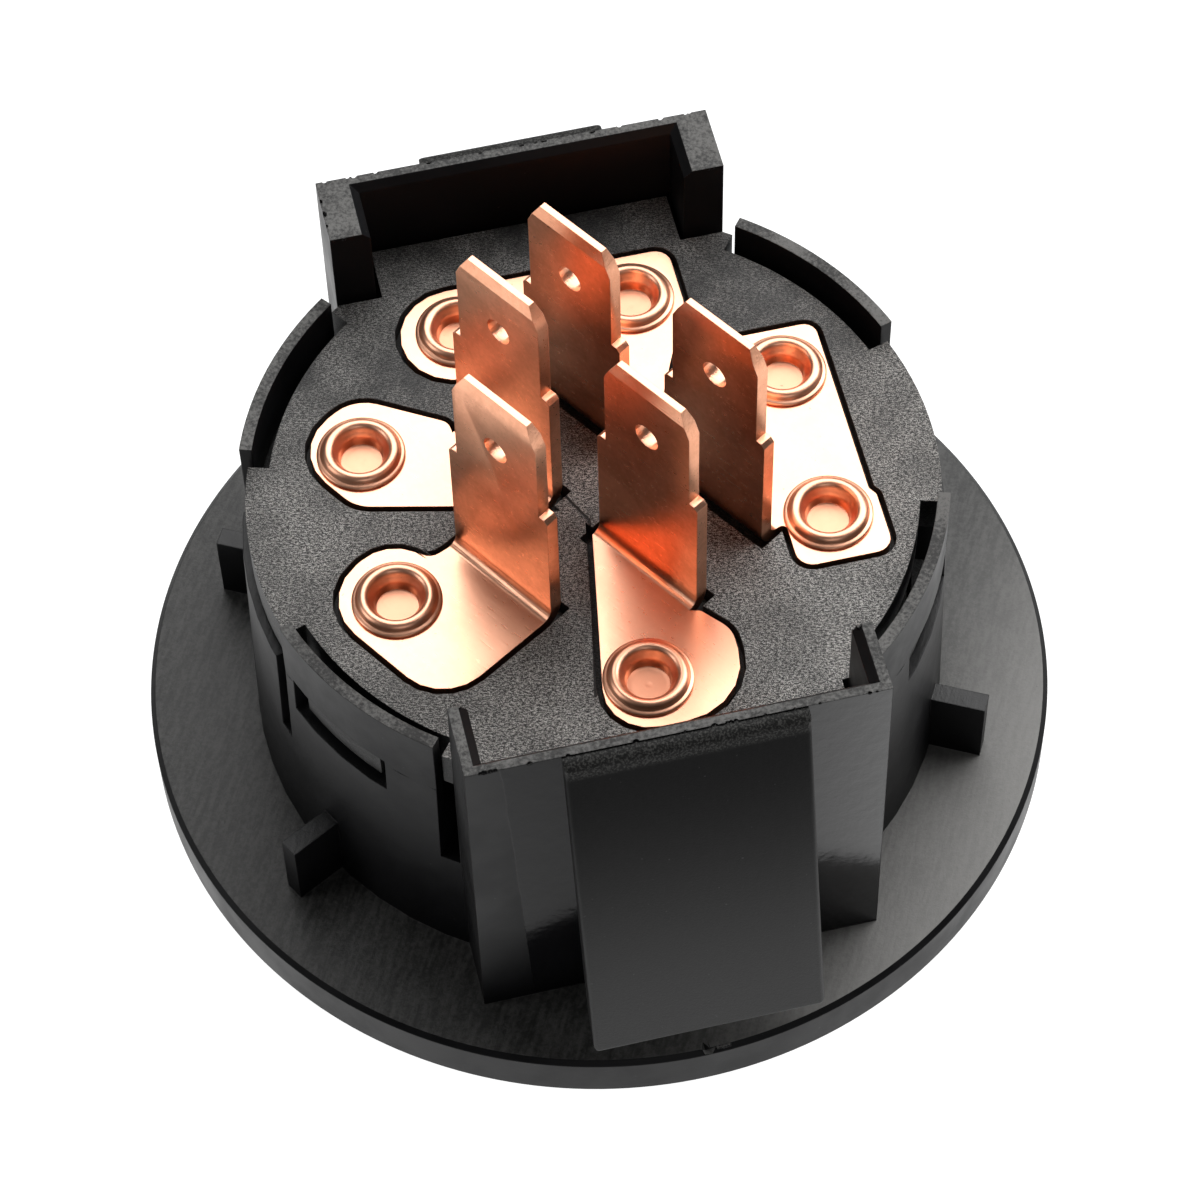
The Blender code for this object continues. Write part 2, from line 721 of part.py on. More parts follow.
# ---- turning parts ----------------------------------------------------------------------------


def shaft(look, axis):
    chamfer = 0.4 * MM
    front_z = KNOB_FACE_THICKNESS + GAP
    groove_low, groove_high = CLIP_Z - 0.1 * MM, CLIP_Z + CLIP_THICKNESS + 0.1 * MM
    body = lathe(
        [
            (0.0, front_z),
            (SHAFT_R - chamfer, front_z),
            (SHAFT_R, front_z + chamfer),
            (SHAFT_R, groove_low),
            (GROOVE_R, groove_low),
            (GROOVE_R, groove_high),
            (SHAFT_R, groove_high),
            (SHAFT_R, SHAFT_REAR_Z - chamfer),
            (SHAFT_R - chamfer, SHAFT_REAR_Z),
            (0.0, SHAFT_REAR_Z),
        ],
        "shaft",
        steps=28,
    )
    flat = box_outline(SHAFT_FLAT_X, 5.0 * MM, -5.0 * MM, 5.0 * MM)
    cut(body, prism(flat, 0.0, 9.5 * MM), prism(flat, ROTOR_FRONT_Z, 30.0 * MM))
    return finish(body, look, parent=axis)


def d_bore(low, high, flat_x):
    """A D-shaped hole for the shaft."""
    half = math.degrees(math.acos(flat_x / SHAFT_HOLE_R))
    turns = [half + (360.0 - 2.0 * half) * i / 24 for i in range(25)]
    return prism([polar(SHAFT_HOLE_R, a) for a in turns], low, high)


def knob(look, axis):
    """A hollow round knob with a fluted grip, a D-bored boss and a groove for the pointer."""
    edge = 0.8 * MM
    body = lathe(
        [
            (0.0, 0.0),
            (KNOB_FACE_R - edge, 0.0),
            (KNOB_FACE_R, edge),
            (KNOB_R, KNOB_REAR_Z),
            (KNOB_R - KNOB_WALL, KNOB_REAR_Z),
            (KNOB_FACE_R - KNOB_WALL, KNOB_FACE_THICKNESS),
            (KNOB_BOSS_R, KNOB_FACE_THICKNESS),
            (KNOB_BOSS_R, KNOB_REAR_Z),
            (0.0, KNOB_REAR_Z),
        ],
        "knob",
    )
    cut(body, d_bore(KNOB_FACE_THICKNESS, KNOB_REAR_Z + 1.0 * MM, SHAFT_FLAT_X + 3 * GAP + 0.1 * MM))
    flutes = []
    for i in range(KNOB_FLUTES):
        centre = polar(KNOB_R + 0.9 * MM, 360.0 * (i + 0.5) / KNOB_FLUTES)
        flutes.append(tube(centre, FLUTE_R, 2.0 * MM, KNOB_REAR_Z - 1.4 * MM, 8))
    cut(body, *flutes)
    groove = box_outline(
        -POINTER_HALF_WIDTH - GAP, POINTER_HALF_WIDTH + GAP, POINTER_RADII[0] - GAP, KNOB_R + 1.0 * MM
    )
    cut(body, prism(groove, -1.0 * MM, POINTER_DEPTH))
    return finish(body, look, parent=axis)


def knob_pointer(look, axis):
    outline = box_outline(-POINTER_HALF_WIDTH, POINTER_HALF_WIDTH, *POINTER_RADII)
    inlay = prism(outline, 0.1 * MM, POINTER_DEPTH - GAP, "knob_pointer")
    return finish(inlay, look, parent=axis)


def knob_clip(look, axis):
    """A flat spring between the shaft's flat and the knob's bore."""
    low_x = SHAFT_FLAT_X + GAP
    outline = box_outline(low_x, low_x + 0.4 * MM, -1.5 * MM, 1.5 * MM)
    clip = prism(outline, KNOB_FACE_THICKNESS + 0.5 * MM, KNOB_REAR_Z - 2.0 * MM, "knob_spring_clip")
    return finish(clip, look, parent=axis)


def dial_plate(look):
    low = FLANGE_FRONT_Z + 0.05 * MM
    high = low + DIAL_THICKNESS
    inner = SHAFT_HOLE_R + 0.4 * MM
    ring = lathe([(inner, low), (DIAL_R, low), (DIAL_R, high), (inner, high)], "dial_plate")
    return finish(ring, look)


def thrust_washer(look):
    low, high = WASHER_Z, WASHER_Z + WASHER_THICKNESS
    inner, outer = SHAFT_R + GAP, BOSS_R - 0.8 * MM
    ring = lathe([(inner, low), (outer, low), (outer, high), (inner, high)], "thrust_washer", steps=28)
    return finish(ring, look)


def retaining_ring(look, axis):
    """A C-shaped ring in the shaft's groove."""
    outline = sector_outline(GROOVE_R + GAP, CLIP_R, 115.0, 425.0, steps=22)
    clip = prism(outline, CLIP_Z, CLIP_Z + CLIP_THICKNESS, "retaining_ring")
    return finish(clip, look, parent=axis)


def plunger_places():
    return [polar(DETENT_R, PLUNGER_ANGLE), polar(DETENT_R, PLUNGER_ANGLE + 180.0)]


def spring_places():
    return [polar(CONTACT_SPRING_R, BRIDGE_ANGLE), polar(CONTACT_SPRING_R, BRIDGE_ANGLE + 180.0)]


def contact_rotor(look, axis):
    """The turning carrier: a disc on a hub, two plunger bosses and two seats for springs."""
    disc_top = ROTOR_FRONT_Z + ROTOR_DISC_THICKNESS
    edge = 0.5 * MM
    body = lathe(
        [
            (0.0, ROTOR_FRONT_Z),
            (ROTOR_R - edge, ROTOR_FRONT_Z),
            (ROTOR_R, ROTOR_FRONT_Z + edge),
            (ROTOR_R, disc_top - edge),
            (ROTOR_R - edge, disc_top),
            (HUB_R, disc_top),
            (HUB_REAR_R, HUB_REAR_Z),
            (0.0, HUB_REAR_Z),
        ],
        "contact_rotor",
        steps=40,
    )
    bosses = [
        tube(place, PLUNGER_BOSS_R, ROTOR_FRONT_Z + edge, PLUNGER_BOSS_Z) for place in plunger_places()
    ]
    join(body, *bosses)
    bores = [
        tube(place, PLUNGER_BORE_R, ROTOR_FRONT_Z - 1.0 * MM, PLUNGER_BORE_END_Z, 20)
        for place in plunger_places()
    ]
    seats = [
        tube(place, SPRING_SEAT_R, disc_top - SPRING_SEAT_DEPTH, disc_top + 1.0 * MM, 20)
        for place in spring_places()
    ]
    shaft_bore = d_bore(ROTOR_FRONT_Z - 1.0 * MM, HUB_REAR_Z + 1.0 * MM, SHAFT_FLAT_X + GAP)
    cut(body, *bores, *seats, shaft_bore)
    return finish(body, look, parent=axis)


def detent_ring(look):
    """A flat ring with eight shallow V notches, keyed to the housing floor."""
    low, high = DETENT_RING_Z
    inner, outer = DETENT_RING_RADII
    ring = lathe([(inner, low), (outer, low), (outer, high), (inner, high)], "detent_ring", steps=48)
    notches = []
    half = 1.3 * MM
    for i in range(NOTCH_COUNT):
        wedge = cross_prism(
            [(-half, high + 0.2 * MM), (0.0, high - NOTCH_DEPTH), (half, high + 0.2 * MM)], 4.0 * MM
        )
        moved(wedge, x=0.5 * (inner + outer))
        notches.append(turned(wedge, PLUNGER_ANGLE + 360.0 * i / NOTCH_COUNT))
    cut(ring, *notches)
    return finish(ring, look)


def detent_plunger(name, place, look, axis):
    tip = PLUNGER_TIP_Z
    profile = [
        (0.0, tip),
        (0.5 * MM, tip + 0.1 * MM),
        (PLUNGER_R, tip + 1.1 * MM),
        (PLUNGER_R, PLUNGER_HEAD_Z - 0.2 * MM),
        (PLUNGER_R - 0.2 * MM, PLUNGER_HEAD_Z),
        (0.0, PLUNGER_HEAD_Z),
    ]
    plunger = moved(lathe(profile, name, steps=20), *place)
    return finish(plunger, look, origin=(*place, tip), parent=axis)


def coil_spring(name, place, sizes, low, high, look, axis):
    """A round-wire compression spring standing along Z."""
    mean_r, wire_r, turns = sizes
    per_turn = 8
    count = int(turns * per_turn)
    curve = bpy.data.curves.new(name, "CURVE")
    curve.dimensions = "3D"
    curve.bevel_depth = wire_r
    curve.bevel_resolution = 0
    curve.use_fill_caps = True
    spline = curve.splines.new("POLY")
    spline.points.add(count)
    height = high - low - 2.0 * wire_r
    for i, point in enumerate(spline.points):
        x, y = polar(mean_r, 360.0 * i / per_turn)
        point.co = (x, y, wire_r + height * i / count, 1.0)
    curve.materials.append(look)
    spring = bpy.data.objects.new(name, curve)
    spring.location = (*place, low)
    spring.parent = axis
    bpy.context.scene.collection.objects.link(spring)
    return spring


def contact_bridge(look, axis):
    """A copper strip across the rotor with an eye round the hub and a hole for each contact."""
    low, high = BRIDGE_Z
    reach = RIVET_CIRCLE_R + BRIDGE_HALF_WIDTH
    strip = [
        (-reach, -BRIDGE_HALF_WIDTH, 2.2 * MM),
        (reach, -BRIDGE_HALF_WIDTH, 2.2 * MM),
        (reach, BRIDGE_HALF_WIDTH, 2.2 * MM),
        (-reach, BRIDGE_HALF_WIDTH, 2.2 * MM),
    ]
    body = prism(rounded(strip), low, high, "contact_bridge")
    join(body, tube((0.0, 0.0), BRIDGE_CENTRE_R, low, high, 32))
    clear_low, clear_high = low - 1.0 * MM, high + 1.0 * MM
    hub_hole = tube((0.0, 0.0), BRIDGE_HOLE_R, clear_low, clear_high, 28)
    contact_holes = [
        tube((x, 0.0), CONTACT_SHANK_R + GAP, clear_low, clear_high, 16)
        for x in (-RIVET_CIRCLE_R, RIVET_CIRCLE_R)
    ]
    cut(body, hub_hole, *contact_holes)
    turned(body, BRIDGE_ANGLE)
    return finish(body, look, parent=axis)


def moving_contact(name, angle, look, axis):
    low, high = MOVING_CONTACT_Z, MOVING_CONTACT_Z + MOVING_CONTACT_HEIGHT
    shank_end = BRIDGE_Z[0] - 0.2 * MM
    profile = [
        (0.0, shank_end),
        (CONTACT_SHANK_R, shank_end),
        (CONTACT_SHANK_R, low),
        (MOVING_CONTACT_R, low),
        (MOVING_CONTACT_R, high - 0.5 * MM),
        (MOVING_CONTACT_R - 0.7 * MM, high - 0.1 * MM),
        (0.0, high),
    ]
    place = polar(RIVET_CIRCLE_R, angle)
    button = moved(lathe(profile, name, steps=20), *place)
    return finish(button, look, parent=axis, sharp=40.0)


def main():
    clear_scene()
    black = material("black_plastic", (0.02, 0.02, 0.022), 0.5)
    base_black = material("base_plastic", (0.03, 0.03, 0.032), 0.65)
    copper = material("copper", (0.86, 0.43, 0.27), 0.28, 1.0)
    silver = material("silver_contact", (0.8, 0.79, 0.76), 0.3, 1.0)
    steel = material("steel", (0.55, 0.55, 0.56), 0.35, 1.0)
    white = material("white_plastic", (0.82, 0.81, 0.77), 0.45)
    label = material("dial_print", (0.12, 0.12, 0.125), 0.55)

    selector = axis_empty("selector_axis")
    bridge = axis_empty("bridge_axis")

    housing(black)
    latch_arm(-1, "latch_arm_front", black)
    latch_arm(1, "latch_arm_rear", black)
    terminal_base(base_black)
    for name, terminal in TERMINALS.items():
        blade_terminal(f"terminal_{name}", terminal, copper)
    for name in RIVET_ANGLES:
        contact_rivet(f"contact_rivet_{name}", rivet_centre(name), copper)

    dial_plate(label)
    thrust_washer(steel)
    detent_ring(white)
    knob(black, selector)
    knob_pointer(white, selector)
    knob_clip(steel, selector)
    shaft(steel, selector)
    retaining_ring(steel, selector)
    contact_rotor(white, selector)

    spring_low = ROTOR_FRONT_Z + ROTOR_DISC_THICKNESS - SPRING_SEAT_DEPTH + GAP
    spring_high = BRIDGE_Z[0] - GAP
    detent_low, detent_high = PLUNGER_HEAD_Z + GAP, PLUNGER_BORE_END_Z - GAP
    for i, (bore, seat) in enumerate(zip(plunger_places(), spring_places()), start=1):
        detent_plunger(f"detent_plunger_{i}", bore, steel, selector)
        coil_spring(f"detent_spring_{i}", bore, DETENT_SPRING, detent_low, detent_high, steel, selector)
        coil_spring(f"contact_spring_{i}", seat, CONTACT_SPRING, spring_low, spring_high, steel, selector)
        moving_contact(f"moving_contact_{i}", BRIDGE_ANGLE + 180.0 * (i - 1), silver, bridge)
    contact_bridge(copper, bridge)


main()
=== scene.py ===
"""Looks of a round snap-in rotary selector switch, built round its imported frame.

Lengths are in metres, in the part's own frame: the origin is the centre of the knob's front face,
+Z runs to the terminals at the rear, and the latch boxes lie along +Y and -Y.
"""

import json
import math
import random

import bmesh
import bpy
from mathutils import Matrix, Vector, noise


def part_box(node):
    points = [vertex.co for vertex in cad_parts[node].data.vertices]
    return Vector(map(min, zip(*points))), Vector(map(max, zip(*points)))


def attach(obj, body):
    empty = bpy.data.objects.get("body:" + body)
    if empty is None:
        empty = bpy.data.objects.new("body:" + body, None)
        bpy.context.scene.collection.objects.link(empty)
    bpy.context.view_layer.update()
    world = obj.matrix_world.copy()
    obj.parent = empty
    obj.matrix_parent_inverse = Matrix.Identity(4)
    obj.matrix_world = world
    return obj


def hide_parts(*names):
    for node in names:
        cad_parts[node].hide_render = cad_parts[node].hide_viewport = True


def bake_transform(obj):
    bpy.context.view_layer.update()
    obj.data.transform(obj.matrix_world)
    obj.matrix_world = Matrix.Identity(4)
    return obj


MM = 0.001
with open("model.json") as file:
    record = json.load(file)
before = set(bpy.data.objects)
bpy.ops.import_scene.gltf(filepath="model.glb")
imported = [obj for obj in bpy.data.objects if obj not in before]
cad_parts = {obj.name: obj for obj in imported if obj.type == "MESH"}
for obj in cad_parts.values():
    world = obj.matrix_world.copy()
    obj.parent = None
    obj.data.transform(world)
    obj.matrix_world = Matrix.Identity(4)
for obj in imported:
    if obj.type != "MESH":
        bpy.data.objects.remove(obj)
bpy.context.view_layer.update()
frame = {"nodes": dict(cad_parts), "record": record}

mounts = {mount["name"]: mount for mount in frame["record"]["mounts"]}
SEAT_Z = mounts["panel_seat"]["pos_m"][2]
PLATE_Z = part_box("terminal_base")[1].z
BOX_TOP_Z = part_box("housing")[1].z
FLANGE_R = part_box("housing")[1].x
BEHAVIOUR = frame["record"]["behaviour"]
BODY_OF = {node: body for body, nodes in BEHAVIOUR["bodies"].items() for node in nodes}

TERMINALS = [node for node in BODY_OF if node.startswith("terminal_") and node != "terminal_base"]
RIVETS = [node for node in BODY_OF if node.startswith("contact_rivet_")]
BLADE_TURN = math.radians(-57.0)  # the blades' direction, from +X

# The latch boxes on the housing
BOX_HALF_WIDTH = 11.8 * MM
BOX_OUTER_Y = 20.9 * MM
BOX_INNER_Y = 20.0 * MM
RETURN_END_Y = 16.5 * MM
INNER_HALF_WIDTHS = {-1: 10.7 * MM, 1: 9.4 * MM}

# Seams on the rear face of the base, beside the front terminal, in metres
PLATE_SEAMS = (
    ((-0.0021, 0.0003), (-0.0008, -0.0024)),
    ((-0.0008, -0.0024), (-0.0012, -0.0048)),
    ((-0.0012, -0.0048), (-0.00315, -0.01405)),
)

# Camera
CAMERA_TARGET = Vector((-2.04, -10.73, 38.4)) * MM
CAMERA_AZIMUTH, CAMERA_ELEVATION, CAMERA_ROLL = -11.8, 56.4, -1.6
CAMERA_DISTANCE = 220.0 * MM
CAMERA_LENS = 120.0


# ---- shader nodes -----------------------------------------------------------------------------


class Shader:
    """A Principled material and short calls for the nodes that feed it."""

    def __init__(self, name, roughness=0.5, metallic=0.0):
        self.material = bpy.data.materials.new(name)
        self.material.use_nodes = True
        self.tree = self.material.node_tree
        self.principled = self.tree.nodes["Principled BSDF"]
        self.principled.inputs["Roughness"].default_value = roughness
        self.principled.inputs["Metallic"].default_value = metallic
        place = self.tree.nodes.new("ShaderNodeTexCoord")
        self.position, self.normal = place.outputs["Object"], place.outputs["Normal"]

    def add(self, kind, settings=None, **values):
        """A new node; values that are sockets are linked, and the others are set."""
        node = self.tree.nodes.new(kind)
        for name, value in (settings or {}).items():
            setattr(node, name, value)
        for name, value in values.items():
            self.put(node.inputs[self.input_name(node, name)], value)
        return node

    @staticmethod
    def input_name(node, name):
        wanted = name.replace("_", " ").lower()
        return next(i for i, socket in enumerate(node.inputs) if socket.name.lower() == wanted)

    def put(self, socket, value):
        if isinstance(value, bpy.types.NodeSocket):
            self.tree.links.new(value, socket)
        else:
            socket.default_value = value

    def sum(self, operation, *values, clamp=False):
        """A Math node."""
        node = self.add("ShaderNodeMath", {"operation": operation, "use_clamp": clamp})
        for socket, value in zip(node.inputs, values):
            self.put(socket, value)
        return node.outputs[0]

    def scaled(self, stretch, turn=(0.0, 0.0, 0.0)):
        """The position, turned and then stretched, for a pattern that runs one way."""
        turned = self.add("ShaderNodeMapping", Vector=self.position, Rotation=turn)
        return self.add("ShaderNodeMapping", Vector=turned.outputs[0], Scale=stretch).outputs[0]

    def noise(self, size, detail=3.0, roughness=0.55, vector=None, distortion=0.0):
        """Noise from 0 to 1 whose blobs are about size metres across."""
        node = self.add(
            "ShaderNodeTexNoise",
            Vector=vector or self.position,
            Scale=1.0 / size,
            Detail=detail,
            Roughness=roughness,
            Distortion=distortion,
        )
        return node.outputs["Fac"]

    def steps(self, value, low, high, smooth=True):
        """0 where value is under low, 1 where it is over high."""
        kind = "SMOOTHSTEP" if smooth else "LINEAR"
        node = self.add("ShaderNodeMapRange", {"interpolation_type": kind}, Value=value)
        self.put(node.inputs["From Min"], low)
        self.put(node.inputs["From Max"], high)
        return node.outputs[0]

    def between(self, value, low, high):
        """The value from 0 to 1 turned into one from low to high."""
        return self.sum("MULTIPLY_ADD", value, high - low, low)

    def mix(self, share, first, second):
        node = self.add("ShaderNodeMix", {"data_type": "RGBA"})
        sockets = [node.inputs[0], node.inputs[6], node.inputs[7]]
        for socket, value in zip(sockets, (share, first, second)):
            if isinstance(value, tuple):
                value = (*value, 1.0)
            elif isinstance(value, float) and socket != sockets[0]:
                value = (value, value, value, 1.0)
            self.put(socket, value)
        return node.outputs[2]

    def axis(self, vector, index):
        return self.add("ShaderNodeSeparateXYZ", Vector=vector).outputs[index]

    def bump(self, height, distance, strength=1.0, under=None):
        node = self.add("ShaderNodeBump", Height=height, Distance=distance, Strength=strength)
        if under is not None:
            self.put(node.inputs["Normal"], under)
        return node.outputs[0]

    def soft_edges(self, radius):
        return self.add("ShaderNodeBevel", {"samples": 4}, Radius=radius).outputs[0]

    def off_line(self, start, end):
        """The distance in XY from the straight line between two points."""
        ax, ay = start
        along = Vector((end[0] - ax, end[1] - ay))
        length = along.length
        x = self.sum("SUBTRACT", self.axis(self.position, 0), ax)
        y = self.sum("SUBTRACT", self.axis(self.position, 1), ay)
        run = self.sum(
            "ADD", self.sum("MULTIPLY", x, along.x / length), self.sum("MULTIPLY", y, along.y / length)
        )
        off = self.sum(
            "SUBTRACT",
            self.sum("MULTIPLY", x, along.y / length),
            self.sum("MULTIPLY", y, along.x / length),
        )
        inside = self.sum("MINIMUM", self.sum("MAXIMUM", run, 0.0), length)
        over = self.sum("SUBTRACT", run, inside)
        squares = self.sum("ADD", self.sum("MULTIPLY", off, off), self.sum("MULTIPLY", over, over))
        return self.sum("SQRT", squares)

    def set(self, **values):
        for name, value in values.items():
            self.put(self.principled.inputs[name.replace("_", " ")], value)
        return self.material


def housing_look():
    """Moulded black plastic: mottled flange, satin walls, polished box walls and cut grey top edges,
    with painted sheen on the flange and walls.
    """
    s = Shader("housing_plastic")
    x, y, z = (s.axis(s.position, i) for i in range(3))
    facing_up = s.steps(s.axis(s.normal, 2), 0.75, 0.95)
    on_flange = s.sum("MULTIPLY", facing_up, s.steps(z, SEAT_Z + 0.6 * MM, SEAT_Z + 0.3 * MM))
    on_top = s.sum("MULTIPLY", facing_up, s.steps(z, PLATE_Z + 0.8 * MM, PLATE_Z + 1.1 * MM))
    # The box walls are polished from a slanted line near one corner to the other corner.
    outside = s.steps(s.sum("ABSOLUTE", y), 20.6 * MM, 20.8 * MM)
    line = s.sum("MULTIPLY_ADD", s.sum("SUBTRACT", BOX_TOP_Z, z), 0.043, -10.0 * MM)
    line = s.sum("ADD", line, s.sum("MULTIPLY", s.noise(2.0 * MM), 0.25 * MM))
    polish = s.steps(s.sum("SUBTRACT", x, line), 0.0, 0.12 * MM)
    polish = s.sum("MULTIPLY", s.sum("MULTIPLY", polish, outside), s.sum("SUBTRACT", 1.0, facing_up))
    near = s.steps(s.sum("ABSOLUTE", x), BOX_HALF_WIDTH, BOX_HALF_WIDTH - 0.05 * MM)
    polish = s.sum("MULTIPLY", s.sum("MULTIPLY", polish, near), s.steps(z, SEAT_Z, SEAT_Z + 0.3 * MM))

    cloud = s.noise(4.0 * MM, 5.0, 0.6)
    grain = s.noise(0.24 * MM, 3.0, 0.7)
    brushed = s.noise(0.35 * MM, 3.0, 0.6, s.scaled((1.0, 0.16, 1.0), (0.0, 0.0, 0.5)))
    lines = s.noise(0.22 * MM, 2.0, 0.5, s.scaled((1.0, 1.0, 0.03)))
    dust = s.steps(s.noise(0.3 * MM, 1.0), 0.77, 0.83)

    wall = s.mix(cloud, (0.0025, 0.0025, 0.0029), (0.0052, 0.0052, 0.006))
    mottle = s.sum("MULTIPLY_ADD", brushed, 0.5, s.sum("MULTIPLY", grain, 0.5))
    flange = s.mix(s.steps(mottle, 0.36, 0.66), (0.018, 0.018, 0.0172), (0.068, 0.067, 0.0645))
    # Painted sheen: paler towards the +X -Y edge, a sheen painted into the colour that the lights alone
    # don't give
    toward_right = s.sum("SUBTRACT", s.sum("MULTIPLY", x, 0.75), s.sum("MULTIPLY", y, 0.66))
    painted_sheen = s.sum("MULTIPLY", s.steps(toward_right, 14.0 * MM, 29.0 * MM), s.between(mottle, 0.6, 1.0))
    flange = s.mix(painted_sheen, flange, (0.27, 0.265, 0.255))
    torn = s.sum("MULTIPLY_ADD", grain, 0.5, s.sum("MULTIPLY", cloud, 0.5))
    cut = s.mix(s.steps(torn, 0.4, 0.6), (0.01, 0.0097, 0.0092), (0.115, 0.113, 0.108))
    color = s.mix(on_top, s.mix(on_flange, wall, flange), cut)
    color = s.mix(s.sum("MULTIPLY", dust, 0.35), color, (0.07, 0.07, 0.07))

    rough_wall = s.between(s.steps(cloud, 0.3, 0.7), 0.34, 0.46)
    rough_wall = s.mix(polish, rough_wall, s.between(grain, 0.06, 0.2))
    rough_flange = s.between(mottle, 0.42, 0.62)
    roughness = s.mix(on_flange, s.mix(on_top, rough_wall, s.between(brushed, 0.45, 0.7)), rough_flange)
    # Painted shade: the polished walls' sheen is painted lower towards -X
    painted_shine = s.between(s.steps(x, -4.0 * MM, 7.0 * MM), 0.1, 0.18)
    sheen = s.mix(polish, s.between(facing_up, 0.15, 0.42), painted_shine)

    height = s.sum("MULTIPLY", mottle, s.between(facing_up, 0.1, 1.0))
    ripple = s.bump(lines, 0.0012 * MM, under=s.soft_edges(0.1 * MM))
    waves = s.sum("MULTIPLY", s.noise(1.1 * MM, 3.0, 0.6), polish)
    normal = s.bump(height, 0.04 * MM, under=s.bump(waves, 0.016 * MM, under=ripple))
    return s.set(Base_Color=color, Roughness=roughness, Normal=normal, Specular_IOR_Level=sheen)


def base_look():
    """Dark matt thermoset with a fine pale speckle, painted brighter towards -Y as light, and the faint
    seams of its mould inserts.
    """
    s = Shader("base_thermoset")
    speck = s.noise(0.1 * MM, 2.0, 0.7, s.scaled((0.45, 1.0, 1.0), (0.0, 0.0, 0.3)))
    fleck = s.noise(0.055 * MM, 1.0, 0.5)
    cloud = s.noise(4.0 * MM, 4.0, 0.6)
    top = s.steps(s.axis(s.position, 2), PLATE_Z - 0.1 * MM, PLATE_Z - 0.05 * MM)
    seams = [s.off_line(start, end) for start, end in PLATE_SEAMS]
    apart = s.sum("MINIMUM", seams[0], s.sum("MINIMUM", seams[1], seams[2]))
    seam = s.sum("MULTIPLY", s.steps(apart, 0.1 * MM, 0.05 * MM), top)
    dark = s.mix(cloud, (0.004, 0.004, 0.0043), (0.009, 0.0088, 0.0086))
    # Painted light: the pale speckle is brighter towards -Y; the rest of its patches are random tone
    front = s.steps(s.axis(s.position, 1), 13.0 * MM, -2.0 * MM)
    patchy_and_painted_light = s.sum("MULTIPLY_ADD", s.steps(cloud, 0.3, 0.7), 0.45, s.sum("MULTIPLY", front, 0.55))
    patchy_and_painted_light = s.sum("MULTIPLY", patchy_and_painted_light, s.between(top, 0.05, 1.0))
    light = s.mix(patchy_and_painted_light, (0.03, 0.0297, 0.0293), (0.5, 0.485, 0.46))
    grit = s.sum("MULTIPLY_ADD", fleck, 0.5, s.sum("MULTIPLY", speck, 0.5))
    color = s.mix(s.steps(grit, 0.44, 0.62), dark, light)
    color = s.mix(seam, color, (0.002, 0.002, 0.002))
    height = s.sum("SUBTRACT", grit, s.sum("MULTIPLY", seam, 3.0))
    normal = s.bump(height, 0.04 * MM, under=s.soft_edges(0.06 * MM))
    return s.set(
        Base_Color=color,
        Roughness=s.between(speck, 0.4, 0.62),
        Normal=normal,
        Specular_IOR_Level=s.between(grit, 0.2, 0.5),
    )


def arm_look():
    """Charcoal satin plastic with faint lines that run down the arm, a speckled rolled top and painted
    light that makes it paler and shinier towards the flange.
    """
    s = Shader("latch_plastic")
    z = s.axis(s.position, 2)
    lines = s.noise(0.25 * MM, 2.0, 0.6, s.scaled((1.0, 1.0, 0.02)))
    grain = s.noise(0.13 * MM, 3.0, 0.65)
    dust = s.steps(s.noise(0.3 * MM, 1.0), 0.75, 0.81)
    rolled = s.steps(z, BOX_TOP_Z - 1.3 * MM, BOX_TOP_Z - 0.9 * MM)
    # Painted light: darker near the top of the arm, paler and shinier towards the flange
    lower = s.steps(z, BOX_TOP_Z - 2.0 * MM, SEAT_Z + 4.0 * MM)
    color = s.mix(lower, (0.002, 0.002, 0.0021), (0.011, 0.011, 0.0112))
    color = s.mix(s.between(lines, 0.0, 0.35), color, (0.012, 0.0122, 0.0124))
    speckled = s.mix(s.steps(grain, 0.45, 0.62), (0.016, 0.016, 0.0155), (0.07, 0.069, 0.066))
    color = s.mix(s.sum("MULTIPLY", rolled, 0.8), color, speckled)
    color = s.mix(s.sum("MULTIPLY", dust, 0.4), color, (0.06, 0.06, 0.06))
    height = s.sum("MULTIPLY_ADD", lines, 0.4, s.sum("MULTIPLY", grain, 0.6))
    depth = s.bump(height, 0.016 * MM, under=s.soft_edges(0.12 * MM))
    return s.set(
        Base_Color=color,
        Roughness=s.between(grain, 0.38, 0.5),
        Normal=depth,
        Specular_IOR_Level=s.between(lower, 0.07, 0.2),
    )


